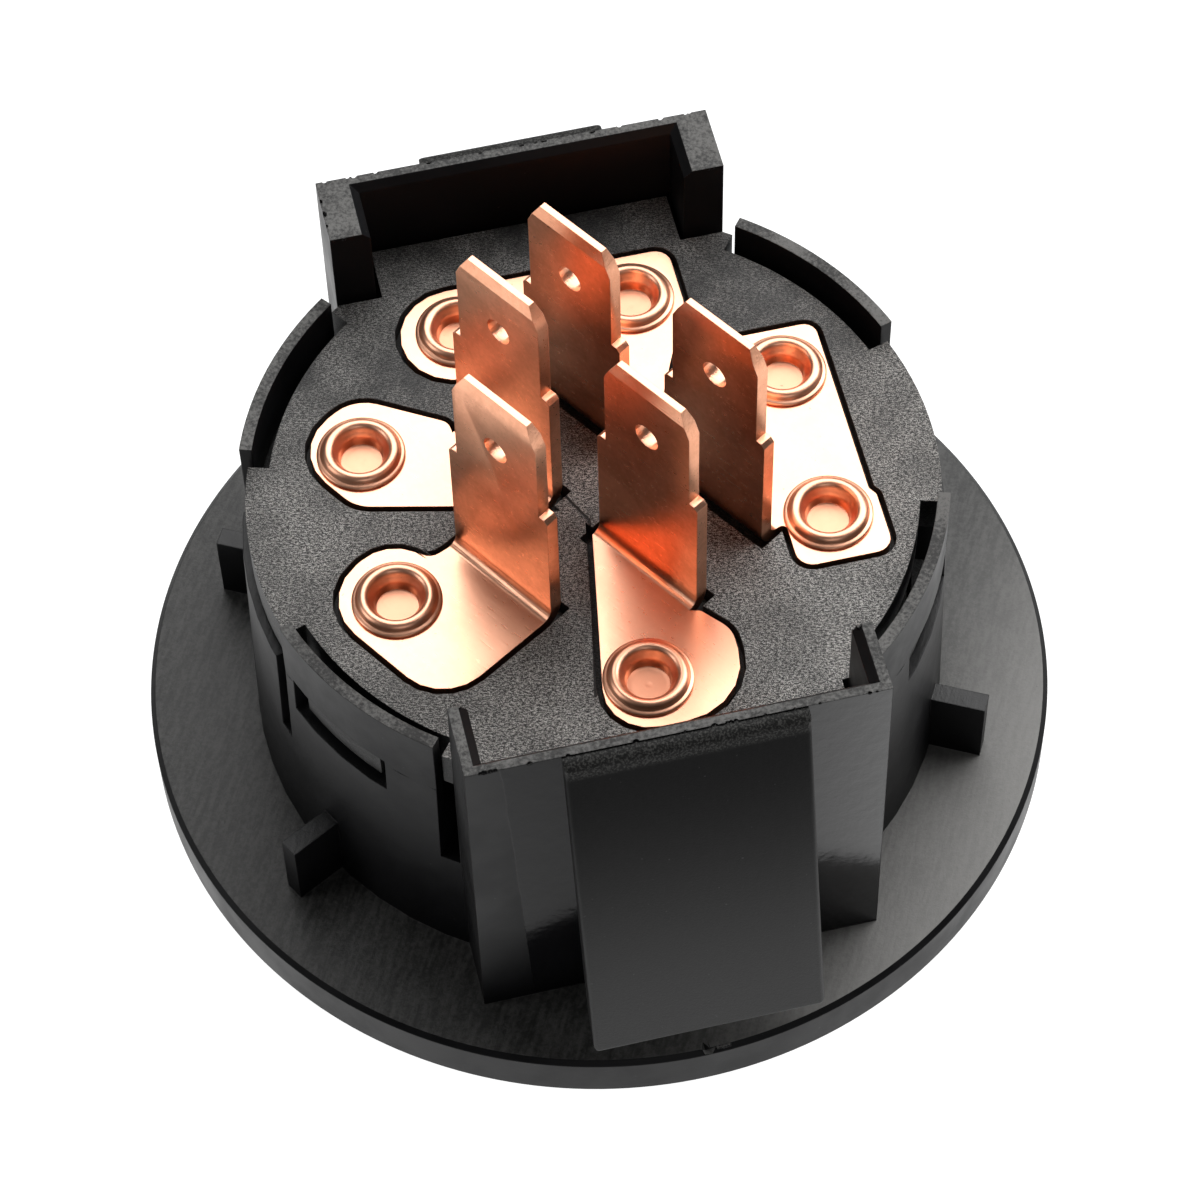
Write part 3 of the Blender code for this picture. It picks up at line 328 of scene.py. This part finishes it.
def copper_look(name, brown=0.5, rough=(0.16, 0.3), rolling=1.0):
    """Rolled copper: fine rolling lines, brown tarnish in patches and creases along the bends."""
    s = Shader(name, metallic=1.0)
    rolled = s.noise(0.12 * MM, 2.0, 0.6, s.scaled((0.05, 1.0, 1.0), (0.0, 0.0, -BLADE_TURN)))
    patch = s.noise(3.2 * MM, 4.0, 0.6, distortion=0.6)
    fine = s.noise(0.35 * MM, 4.0, 0.65)
    pits = s.steps(s.noise(0.22 * MM, 1.0), 0.76, 0.82)
    level = s.sum("ABSOLUTE", s.axis(s.normal, 2))
    upright = s.sum("SUBTRACT", 1.0, level)
    bend = s.sum("MULTIPLY", s.steps(level, 0.15, 0.3), s.steps(level, 0.99, 0.9))
    tarnish = s.sum("MULTIPLY_ADD", fine, 0.35, s.sum("MULTIPLY", patch, 0.65))
    stained = s.sum("MULTIPLY", s.steps(tarnish, 0.36, 0.66), s.between(upright, 0.2 * brown, brown))
    deep = s.steps(s.axis(s.position, 2), PLATE_Z - 0.1 * MM, PLATE_Z - 0.5 * MM)
    clean = s.mix(level, (0.97, 0.475, 0.285), (0.96, 0.5, 0.33))
    color = s.mix(stained, clean, (0.56, 0.215, 0.11))
    color = s.mix(s.sum("MULTIPLY", deep, 0.55), color, (0.5, 0.2, 0.115))
    color = s.mix(s.sum("MULTIPLY", pits, 0.5), color, (0.2, 0.09, 0.06))
    roughness = s.between(s.sum("MULTIPLY_ADD", rolled, 0.5, s.sum("MULTIPLY", fine, 0.5)), *rough)
    creased = s.sum("MULTIPLY", rolled, s.between(bend, rolling, 6.0 * rolling))
    normal = s.bump(creased, 0.0035 * MM, under=s.soft_edges(0.05 * MM))
    return s.set(Base_Color=color, Roughness=roughness, Normal=normal)


def steel_look(name="turned_steel", color=(0.5, 0.5, 0.51), rough=(0.25, 0.42)):
    s = Shader(name, metallic=1.0)
    rings = s.noise(0.15 * MM, 2.0, 0.6, s.scaled((0.2, 0.2, 4.0)))
    stain = s.noise(1.5 * MM, 3.0)
    darker = tuple(0.75 * channel for channel in color)
    return s.set(
        Base_Color=s.mix(stain, darker, color),
        Roughness=s.between(rings, *rough),
        Normal=s.bump(rings, 0.003 * MM),
    )


def acetal_look(name="natural_acetal", color=(0.78, 0.77, 0.72)):
    s = Shader(name)
    flow = s.noise(2.5 * MM, 3.0, 0.5)
    grain = s.noise(0.2 * MM, 2.0)
    paler = tuple(min(1.0, 1.06 * channel) for channel in color)
    s.principled.inputs["Subsurface Weight"].default_value = 0.15
    s.principled.inputs["Subsurface Scale"].default_value = 0.6 * MM
    return s.set(
        Base_Color=s.mix(flow, color, paler),
        Roughness=s.between(grain, 0.32, 0.45),
        Normal=s.bump(grain, 0.006 * MM),
    )


def silver_look():
    s = Shader("silver_contact", metallic=1.0)
    burnt = s.steps(s.noise(0.8 * MM, 4.0, 0.6), 0.5, 0.75)
    return s.set(
        Base_Color=s.mix(burnt, (0.84, 0.83, 0.8), (0.45, 0.41, 0.36)),
        Roughness=s.between(burnt, 0.22, 0.5),
        Normal=s.bump(s.noise(0.2 * MM), 0.006 * MM),
    )


def knob_look():
    """Satin black knob with a spark-eroded texture."""
    s = Shader("knob_plastic")
    grain = s.noise(0.14 * MM, 3.0, 0.7)
    cloud = s.noise(3.0 * MM, 3.0)
    return s.set(
        Base_Color=s.mix(cloud, (0.011, 0.011, 0.012), (0.019, 0.019, 0.02)),
        Roughness=s.between(grain, 0.38, 0.52),
        Normal=s.bump(grain, 0.02 * MM),
    )


def film_look(name, dark, light, rough=(0.4, 0.55)):
    """Printed film or paint."""
    s = Shader(name)
    grain = s.noise(0.12 * MM, 2.0)
    return s.set(
        Base_Color=s.mix(grain, dark, light),
        Roughness=s.between(grain, *rough),
        Normal=s.bump(grain, 0.004 * MM),
    )


# ---- meshes -----------------------------------------------------------------------------------


def new_object(name, mesh):
    obj = bpy.data.objects.new(name, mesh)
    bpy.context.scene.collection.objects.link(obj)
    return obj


def dress(obj, look, node=None, sharp=35.0):
    """Gives the piece its material, smooth shading and body; it stands for the CAD node."""
    obj.data.materials.clear()
    obj.data.materials.append(look)
    if obj.type == "MESH":
        obj.data.shade_smooth()
        obj.data.set_sharp_from_angle(angle=math.radians(sharp))
    if node:
        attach(obj, BODY_OF[node])
        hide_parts(node)
    return obj


def changed(obj, change=lambda shape: None):
    """Runs change on the object's mesh as a bmesh, with its normals turned outwards after it."""
    shape = bmesh.new()
    shape.from_mesh(obj.data)
    change(shape)
    bmesh.ops.recalc_face_normals(shape, faces=shape.faces)
    shape.to_mesh(obj.data)
    shape.free()
    return obj


def copied(node, name):
    """The CAD node's solid as one closed mesh."""
    piece = new_object(name, frame["nodes"][node].data.copy())
    return changed(
        piece, lambda shape: bmesh.ops.remove_doubles(shape, verts=shape.verts, dist=0.001 * MM)
    )


def whole_faces(piece):
    """Joins the triangles of each flat face."""
    return changed(
        piece,
        lambda shape: bmesh.ops.dissolve_limit(
            shape, angle_limit=math.radians(0.6), verts=shape.verts, edges=shape.edges
        ),
    )


def bevelled(obj, width, segments=2, angle=32.0):
    modifier = obj.modifiers.new("soft_edges", "BEVEL")
    modifier.width = width
    modifier.segments = segments
    modifier.limit_method = "ANGLE"
    modifier.angle_limit = math.radians(angle)
    modifier.use_clamp_overlap = True
    modifier.harden_normals = True
    return obj


def turned_shape(name, profile, steps, centre=(0.0, 0.0)):
    """A closed profile of (radius, z), turned about the line through centre."""
    shape = bmesh.new()
    rings = []
    for radius, z in profile:
        if radius < 1e-9:
            rings.append([shape.verts.new((centre[0], centre[1], z))] * steps)
            continue
        turns = [2.0 * math.pi * i / steps for i in range(steps)]
        rings.append(
            [
                shape.verts.new((centre[0] + radius * math.cos(a), centre[1] + radius * math.sin(a), z))
                for a in turns
            ]
        )
    for ring, following in zip(rings, rings[1:] + rings[:1]):
        for i in range(steps):
            j = (i + 1) % steps
            corners = list(dict.fromkeys((ring[i], ring[j], following[j], following[i])))
            if len(corners) > 2:
                shape.faces.new(corners)
    bmesh.ops.recalc_face_normals(shape, faces=shape.faces)
    mesh = bpy.data.meshes.new(name)
    shape.to_mesh(mesh)
    shape.free()
    return new_object(name, mesh)


def arc(centre, radius, start, end, steps):
    """Points of (radius, z) round an arc, in degrees."""
    for i in range(steps + 1):
        angle = math.radians(start + (end - start) * i / steps)
        yield centre[0] + radius * math.cos(angle), centre[1] + radius * math.sin(angle)


# ---- pieces -----------------------------------------------------------------------------------


def plain_pieces(looks):
    """CAD nodes whose shape is right, with their edges softened."""
    for node, (look, width) in looks.items():
        piece = bevelled(whole_faces(copied(node, f"{node}_body")), width)
        dress(piece, look, node)


def smooth_line(points, per_span):
    """Catmull-Rom points through the given ones."""
    ends = [points[0], *points, points[-1]]
    line = []
    for before, first, second, after in zip(ends, ends[1:], ends[2:], ends[3:]):
        for i in range(per_span):
            t = i / per_span
            weights = (
                -0.5 * t + t * t - 0.5 * t**3,
                1.0 - 2.5 * t * t + 1.5 * t**3,
                0.5 * t + 2.0 * t * t - 1.5 * t**3,
                -0.5 * t * t + 0.5 * t**3,
            )
            near = (before, first, second, after)
            line.append(tuple(sum(w * point[k] for w, point in zip(weights, near)) for k in (0, 1)))
    return [*line, points[-1]]


def rivet(node, look):
    """A semi-tubular rivet, its end rolled out over the terminal round a blind well."""
    low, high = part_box(node)
    centre = 0.5 * (low + high)
    ring_r = 0.5 * (high.x - low.x) - 0.02 * MM
    head_r = ring_r - 0.2 * MM
    head_z = low.z + 1.0 * MM
    shank = [(0.0, low.z), (head_r - 0.5 * MM, low.z), (head_r, low.z + 0.4 * MM), (head_r, head_z)]
    shank += [(1.55 * MM, head_z), (1.55 * MM, PLATE_Z + 0.04 * MM)]
    # The rolled ring, by distance in from its edge and height over the terminal
    ring = [(0.3, 0.03), (0.06, 0.04), (0.0, 0.11), (0.05, 0.2), (0.16, 0.25), (0.24, 0.28)]
    ring += [(0.3, 0.38), (0.4, 0.52), (0.56, 0.62), (0.74, 0.63), (0.9, 0.55), (1.0, 0.42)]
    ring += [(1.1, 0.24), (1.2, 0.08), (1.27, -0.06), (1.31, -0.22), (1.34, -0.4), (1.37, -0.62)]
    roll = smooth_line([(ring_r - inward * MM, PLATE_Z + up * MM) for inward, up in ring], 3)
    # Faint circles on the floor of the well
    floor_r, floor_z = roll[-1]
    floor_z -= 0.02 * MM
    marks = []
    for i in range(1, 9):
        ridge = 0.014 * MM if i % 2 else 0.0
        marks.append((floor_r * (1.0 - i / 9.0), floor_z + ridge))
    marks.append((0.0, floor_z))
    piece = turned_shape(f"{node}_rolled", shank + roll + marks, 72, (centre.x, centre.y))
    return dress(piece, look, node, sharp=55.0)


def solid_from(name, points, faces):
    mesh = bpy.data.meshes.new(name)
    mesh.from_pydata(points, [], faces)
    return changed(new_object(name, mesh))


def cut_away(piece, tools):
    """Booleans the tools from the piece for good."""
    for tool in tools:
        modifier = piece.modifiers.new("cut", "BOOLEAN")
        modifier.operation = "DIFFERENCE"
        modifier.solver = "EXACT"
        modifier.use_self = True
        modifier.object = tool
    graph = bpy.context.evaluated_depsgraph_get()
    mesh = bpy.data.meshes.new_from_object(piece.evaluated_get(graph))
    piece.modifiers.clear()
    piece.data = mesh
    for tool in tools:
        bpy.data.objects.remove(tool)


def box_edge_tool(side):
    """A block that widens upwards, which chamfers the inner top edges of one latch box."""
    drop, width = 0.5 * MM, 0.5 * MM
    points = []
    for z, spread in ((BOX_TOP_Z - drop, 0.0), (BOX_TOP_Z + 0.1 * MM, 1.2 * width)):
        half = INNER_HALF_WIDTHS[side] + spread
        far = BOX_INNER_Y + 0.75 * spread
        near = RETURN_END_Y - 2.0 * MM
        corners = ((-half, near), (half, near), (half, far), (-half, far))
        points += [(x, side * y, z) for x, y in corners]
    faces = [(0, 1, 2, 3), (7, 6, 5, 4), (1, 0, 4, 5), (2, 1, 5, 6), (3, 2, 6, 7), (0, 3, 7, 4)]
    return solid_from("chamfer", points, faces)


def lumps(name, places):
    """Small uneven balls, each given as (centre, radius, height share), in one mesh."""
    shape = bmesh.new()
    for centre, radius, share in places:
        made = bmesh.ops.create_icosphere(shape, subdivisions=2, radius=1.0)["verts"]
        for vert in made:
            bulge = 1.0 + 0.28 * noise.noise(Vector(centre) * 9000.0 + vert.co * 1.7)
            x, y, z = vert.co * (radius * bulge)
            vert.co = Vector(centre) + Vector((x, y, z * share))
    mesh = bpy.data.meshes.new(name)
    shape.to_mesh(mesh)
    shape.free()
    return new_object(name, mesh)


def round_flange(piece):
    """Adds points on the flange's rim, between those of the CAD, on the true circle."""
    shape = bmesh.new()
    shape.from_mesh(piece.data)
    rim = [
        edge
        for edge in shape.edges
        if all(v.co.xy.length > FLANGE_R - 0.4 * MM for v in edge.verts)
        and abs(edge.verts[0].co.z - edge.verts[1].co.z) < 0.001 * MM
        and edge.calc_length() > 1.0 * MM
    ]
    radii = {v: v.co.xy.length for v in shape.verts}
    bmesh.ops.subdivide_edges(shape, edges=rim, cuts=3, use_grid_fill=True)
    for vert in shape.verts:
        if vert in radii or vert.co.xy.length < FLANGE_R - 0.7 * MM:
            continue
        inner = FLANGE_R - vert.co.xy.length > 0.16 * MM
        radius = FLANGE_R - (0.3 * MM if inner else 0.0)
        vert.co.xy = vert.co.xy.normalized() * radius
    shape.to_mesh(piece.data)
    shape.free()


def true_normals(piece):
    """Round walls get the normals of the true circle; every other face keeps its own."""
    mesh = piece.data
    mesh.shade_smooth()
    normals = [None] * len(mesh.loops)
    for face in mesh.polygons:
        normal = face.normal
        middle = Vector((face.center.x, face.center.y, 0.0))
        facing = normal.x * middle.x + normal.y * middle.y
        flat = Vector((normal.x, normal.y, 0.0))
        radii = [mesh.vertices[i].co.xy.length for i in face.vertices]
        points_out = abs(facing) > 0.996 * middle.length * flat.length
        on_circle = max(radii) - min(radii) < 0.12 * MM
        radial = min(radii) > 16.0 * MM and flat.length > 0.3 and (points_out or on_circle)
        for i in face.loop_indices:
            vert = mesh.vertices[mesh.loops[i].vertex_index].co
            if radial:
                reach = flat.length * math.copysign(1.0, facing)
                out = Vector((vert.x, vert.y, 0.0)).normalized() * reach
                normals[i] = (out.x, out.y, normal.z)
            else:
                normals[i] = tuple(normal)
    mesh.normals_split_custom_set(normals)


def housing_piece(look):
    piece = copied("housing", "housing_body")
    random.seed(7)
    chips = []
    for _ in range(36):
        side = random.choice((-1, 1))
        across = random.uniform(-1.0, 1.0) * BOX_HALF_WIDTH
        size = random.uniform(0.08, 0.2) * MM
        chips.append(((across, side * (BOX_OUTER_Y + 0.04 * MM), BOX_TOP_Z), size, 1.0))
    for along in (17.6, 18.5, 19.5):
        size = random.uniform(0.14, 0.24) * MM
        chips.append(((-BOX_HALF_WIDTH, along * MM, BOX_TOP_Z), size, 1.2))
    chips.append(((0.1 * MM, -FLANGE_R + 0.25 * MM, SEAT_Z + 0.15 * MM), 0.55 * MM, 0.7))
    cut_away(piece, [box_edge_tool(-1), box_edge_tool(1), lumps("chips", chips)])
    round_flange(whole_faces(piece))
    dress(piece, look, "housing")
    true_normals(piece)

    burrs = []
    for side, half in INNER_HALF_WIDTHS.items():
        for hand in (-1, 1):
            for _ in range(7):
                x = hand * random.uniform(half + 0.2 * MM, BOX_HALF_WIDTH - 0.1 * MM)
                y = side * (RETURN_END_Y + random.uniform(0.02, 0.22) * MM)
                size = random.uniform(0.07, 0.15) * MM
                burrs.append(((x, y, BOX_TOP_Z - size * 0.8), size, 0.8))
    for i in range(5):
        x = (0.75 + 0.16 * i) * MM
        y = -math.sqrt((FLANGE_R - 0.22 * MM) ** 2 - x * x)
        burrs.append(((x, y, SEAT_Z - 0.06 * MM), random.uniform(0.12, 0.2) * MM, 0.7))
    rough = dress(lumps("trim_burrs", burrs), look)
    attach(rough, BODY_OF["housing"])


def arm_piece(node, look):
    """A latch arm with a rolled top edge and rounded side edges, closed up to its box wall."""
    low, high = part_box(node)
    side = 1.0 if high.y > 0.0 else -1.0
    tip_y = max(abs(low.y), abs(high.y))
    top_z, tip_z = high.z, low.z
    wall_y = BOX_OUTER_Y + 0.03 * MM
    outer = [(wall_y + 0.16 * MM, top_z)]
    outer += list(arc((21.12 * MM, top_z - 0.62 * MM), 0.62 * MM, 84.0, 14.0, 7))
    outer += [(21.8 * MM, top_z - 0.9 * MM), (21.92 * MM, top_z - 1.3 * MM)]
    outer += [(tip_y - 0.03 * MM, tip_z + 0.3 * MM), (tip_y - 0.07 * MM, tip_z + 0.1 * MM)]
    inner = [(tip_y - 0.3 * MM, tip_z), (tip_y - 1.65 * MM, tip_z + 2.6 * MM)]
    inner += [(wall_y + 0.34 * MM, top_z - 1.6 * MM), (wall_y, top_z - 0.4 * MM)]
    inner += [(wall_y, top_z)]
    radius, steps = 0.3 * MM, 5
    stations = []
    for i in range(steps + 1):
        angle = 0.5 * math.pi * i / steps
        stations.append((radius * (1.0 - math.sin(angle)), radius * (1.0 - math.cos(angle))))
    stations = [(low.x + d, inset) for d, inset in reversed(stations)]
    width = high.x - low.x
    stations = stations + [(low.x + width * i / 8, 0.0) for i in range(1, 8)]
    stations += [(high.x - (x - low.x), inset) for x, inset in reversed(stations[: steps + 1])]
    points, faces = [], []
    count = len(outer) + len(inner)
    for x, inset in stations:
        for i, (y, z) in enumerate(outer):
            share = 0.45 if i < 8 else 1.0
            raised = inset * 1.5 if z < tip_z + 0.5 * MM else 0.0
            points.append((x, side * (y - inset * share), z + raised))
        for y, z in inner:
            raised = inset * 1.5 if z < tip_z + 0.5 * MM else 0.0
            points.append((x, side * y, z + raised))
    for i in range(len(stations) - 1):
        for j in range(count):
            k = (j + 1) % count
            faces.append((i * count + j, i * count + k, (i + 1) * count + k, (i + 1) * count + j))
    faces += [tuple(range(count)), tuple(range((len(stations) - 1) * count, len(stations) * count))]
    return dress(solid_from(f"{node}_moulded", points, faces), look, node, sharp=40.0)


def coil_piece(node, look):
    """A round-wire compression spring with its end turns closed."""
    low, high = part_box(node)
    centre = 0.5 * (low + high)
    height = high.z - low.z
    wire = 0.2 * MM if "contact" in node else 0.17 * MM
    mean = 0.5 * (high.x - low.x) - wire
    turns = 5.5 if "contact" in node else 6.5
    closed = 1.0
    per_turn = 20
    count = int(turns * per_turn)
    points = []
    for i in range(count + 1):
        turn = i / per_turn
        open_share = min(max((turn - closed) / (turns - 2.0 * closed), 0.0), 1.0)
        rise = 2.0 * wire * min(turn, closed) + 2.0 * wire * max(turn - (turns - closed), 0.0)
        z = wire + rise + (height - 2.0 * wire - 4.0 * wire * closed) * open_share
        angle = 2.0 * math.pi * turn
        points.append((centre.x + mean * math.cos(angle), centre.y + mean * math.sin(angle), low.z + z))
    curve = bpy.data.curves.new(f"{node}_wire", "CURVE")
    curve.dimensions = "3D"
    curve.bevel_depth = wire * 0.95
    curve.bevel_resolution = 3
    curve.use_fill_caps = True
    spline = curve.splines.new("POLY")
    spline.points.add(count)
    for point, co in zip(spline.points, points):
        point.co = (*co, 1.0)
    path = new_object(f"{node}_path", curve)
    mesh = bpy.data.meshes.new_from_object(path.evaluated_get(bpy.context.evaluated_depsgraph_get()))
    bpy.data.objects.remove(path)
    piece = dress(new_object(f"{node}_wire", mesh), look)
    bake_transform(piece)
    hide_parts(node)
    return piece


def knob_piece(look):
    """The knob as one fluted, tapered shell with a rounded face edge and the pointer's groove."""
    low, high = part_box("knob")
    face_r, rim_r = high.x - 1.0 * MM, high.x
    boss_r, bore_r, face = 6.2 * MM, 3.3 * MM, 2.2 * MM
    height = high.z - low.z
    flutes, steps, levels = 16, 288, 24
    edge = 0.9 * MM
    shape = bmesh.new()

    def ring(radius, z, depth=0.0):
        made = []
        for i in range(steps):
            angle = 2.0 * math.pi * i / steps
            dent = depth * max(0.0, -math.cos(flutes * angle)) ** 1.5
            r = radius - dent
            made.append(shape.verts.new((r * math.cos(angle), r * math.sin(angle), z)))
        return made

    rings = [ring(r, 0.0) for r in (2.0 * MM, 10.0 * MM, face_r - 2.2 * MM)]
    for i in range(6):
        angle = math.radians(90.0 * i / 5)
        r = face_r - edge * (1.0 - math.sin(angle))
        rings.append(ring(r, edge * (1.0 - math.cos(angle))))
    for i in range(1, levels + 1):
        share = i / levels
        z = edge + (height - edge) * share
        depth = 0.65 * MM * min(1.0, 4.0 * share, 6.0 * (1.0 - share))
        rings.append(ring(face_r + (rim_r - face_r) * share, z, depth))
    inside = ((rim_r - 1.9 * MM, height), (face_r - 2.1 * MM, face), (boss_r, face))
    inside += ((boss_r, height), (bore_r, height), (bore_r, face))
    rings += [ring(r, z) for r, z in inside]
    for first, second in zip(rings, rings[1:]):
        for i in range(steps):
            j = (i + 1) % steps
            shape.faces.new((first[i], first[j], second[j], second[i]))
    shape.faces.new(rings[0])
    shape.faces.new(rings[-1])
    bmesh.ops.recalc_face_normals(shape, faces=shape.faces)
    mesh = bpy.data.meshes.new("knob_shell")
    shape.to_mesh(mesh)
    shape.free()
    piece = new_object("knob_shell", mesh)
    outline = ((-1.0, 6.2), (1.0, 6.2), (1.0, 17.6), (-1.0, 17.6))
    points = [(x * MM, y * MM, z * MM) for z in (-1.0, 0.8) for x, y in outline]
    faces = [(3, 2, 1, 0), (4, 5, 6, 7), (0, 1, 5, 4), (1, 2, 6, 5), (2, 3, 7, 6), (3, 0, 4, 7)]
    cut_away(piece, [solid_from("groove", points, faces)])
    return dress(piece, look, "knob")


def dial_marks(look):
    """Generic numbers round the knob, on the flange's front."""
    low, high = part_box("dial_plate")
    radius = 18.6 * MM
    for number in range(4):
        angle = math.radians(90.0 + 45.0 * number)
        place = Vector((radius * math.cos(angle), radius * math.sin(angle), low.z - 0.02 * MM))
        text = bpy.data.curves.new(f"dial_number_{number}", "FONT")
        text.body = str(number)
        text.size = 2.8 * MM
        text.align_x, text.align_y = "CENTER", "CENTER"
        text.extrude = 0.03 * MM
        mark = new_object(f"dial_number_{number}", text)
        mark.matrix_world = (
            Matrix.Translation(place)
            @ Matrix.Rotation(angle - math.radians(90.0), 4, "Z")
            @ Matrix.Rotation(math.pi, 4, "Y")
        )
        text.materials.append(look)
        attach(mark, BODY_OF["dial_plate"])


# ---- stage ------------------------------------------------------------------------------------


def area_light(name, place, size, power, target=(0.0, 0.0, 25.0 * MM), color=(1.0, 1.0, 1.0)):
    light = bpy.data.lights.new(name, "AREA")
    light.shape = "RECTANGLE"
    light.size, light.size_y = size
    light.energy = power
    light.color = color
    lamp = new_object(name, light)
    lamp.location = place
    aim = Vector(target) - Vector(place)
    lamp.rotation_euler = aim.to_track_quat("-Z", "Y").to_euler()
    return lamp


def stage():
    shader = Shader("pale_floor", roughness=0.9)
    tone = shader.mix(shader.noise(0.03, 2.0), (0.24, 0.24, 0.24), (0.26, 0.26, 0.26))
    length = shader.add("ShaderNodeVectorMath", {"operation": "LENGTH"}, Vector=shader.position)
    glow = shader.between(shader.steps(length.outputs["Value"], 0.3, 0.07), 0.62, 1.0)
    shader.principled.inputs["Emission Color"].default_value = (1.0, 1.0, 1.0, 1.0)
    shader.set(Base_Color=tone, Emission_Strength=glow)
    mesh = bpy.data.meshes.new("floor")
    half = 1.5
    low = -0.05 * MM
    corners = [(-half, -half, low), (half, -half, low), (half, half, low), (-half, half, low)]
    mesh.from_pydata(corners, [], [(0, 1, 2, 3)])
    mesh.materials.append(shader.material)
    new_object("floor", mesh)

    area_light("key_behind", (0.18, 0.25, 0.45), (0.8, 0.54), 4.4)
    area_light("fill_left", (-0.45, 0.05, 0.3), (0.2, 0.3), 0.5)
    area_light("fill_right", (0.45, 0.1, 0.3), (0.2, 0.3), 0.5)
    area_light("fill_front", (0.0, -0.5, 0.4), (0.3, 0.2), 0.25)

    world = bpy.data.worlds.new("studio")
    world.use_nodes = True
    world.node_tree.nodes["Background"].inputs["Color"].default_value = (1.0, 1.0, 1.0, 1.0)
    world.node_tree.nodes["Background"].inputs["Strength"].default_value = 0.06
    bpy.context.scene.world = world
    bpy.context.scene.view_settings.view_transform = "Standard"


def camera():
    lens = bpy.data.cameras.new("camera")
    lens.lens = CAMERA_LENS
    lens.sensor_width = 36.0
    lens.clip_start, lens.clip_end = 0.01, 10.0
    eye = new_object("camera", lens)
    azimuth, elevation = math.radians(CAMERA_AZIMUTH), math.radians(CAMERA_ELEVATION)
    back = Vector(
        (
            math.sin(azimuth) * math.cos(elevation),
            -math.cos(azimuth) * math.cos(elevation),
            math.sin(elevation),
        )
    )
    level = (-back).to_track_quat("-Z", "Y").to_matrix()
    roll = Matrix.Rotation(math.radians(CAMERA_ROLL), 3, "Z")
    place = Matrix.Translation(CAMERA_TARGET + back * CAMERA_DISTANCE)
    eye.matrix_world = place @ (level @ roll).to_4x4()
    bpy.context.scene.camera = eye


def main():
    housing = housing_look()
    arm = arm_look()
    steel = steel_look()
    acetal = acetal_look()
    copper = copper_look("rolled_copper", brown=0.5, rough=(0.22, 0.36))
    rivet_copper = copper_look("rivet_copper", brown=0.3, rough=(0.3, 0.42), rolling=0.1)

    housing_piece(housing)
    arm_piece("latch_arm_front", arm)
    arm_piece("latch_arm_rear", arm)
    plain = {
        "terminal_base": (base_look(), 0.07 * MM),
        "dial_plate": (film_look("dial_film", (0.03, 0.03, 0.032), (0.04, 0.04, 0.042)), 0.03 * MM),
        "thrust_washer": (steel, 0.04 * MM),
        "detent_ring": (acetal, 0.06 * MM),
        "knob_pointer": (film_look("pointer_paint", (0.8, 0.79, 0.75), (0.86, 0.85, 0.81)), 0.05 * MM),
        "knob_spring_clip": (steel, 0.04 * MM),
        "shaft": (steel, 0.06 * MM),
        "retaining_ring": (steel, 0.05 * MM),
        "contact_rotor": (acetal, 0.1 * MM),
        "detent_plunger_1": (steel, 0.05 * MM),
        "detent_plunger_2": (steel, 0.05 * MM),
        "contact_bridge": (copper, 0.05 * MM),
    }
    plain.update({node: (copper, 0.05 * MM) for node in TERMINALS})
    silver = silver_look()
    plain.update({f"moving_contact_{i}": (silver, 0.05 * MM) for i in (1, 2)})
    plain_pieces(plain)
    for node in RIVETS:
        rivet(node, rivet_copper)
    wire = steel_look("spring_wire", (0.42, 0.42, 0.43), (0.2, 0.32))
    for node in BODY_OF:
        if "_spring_" in node and "clip" not in node:
            coil_piece(node, wire)
    knob_piece(knob_look())
    dial_marks(film_look("dial_ink", (0.75, 0.75, 0.73), (0.82, 0.82, 0.8)))
    stage()
    camera()


main()
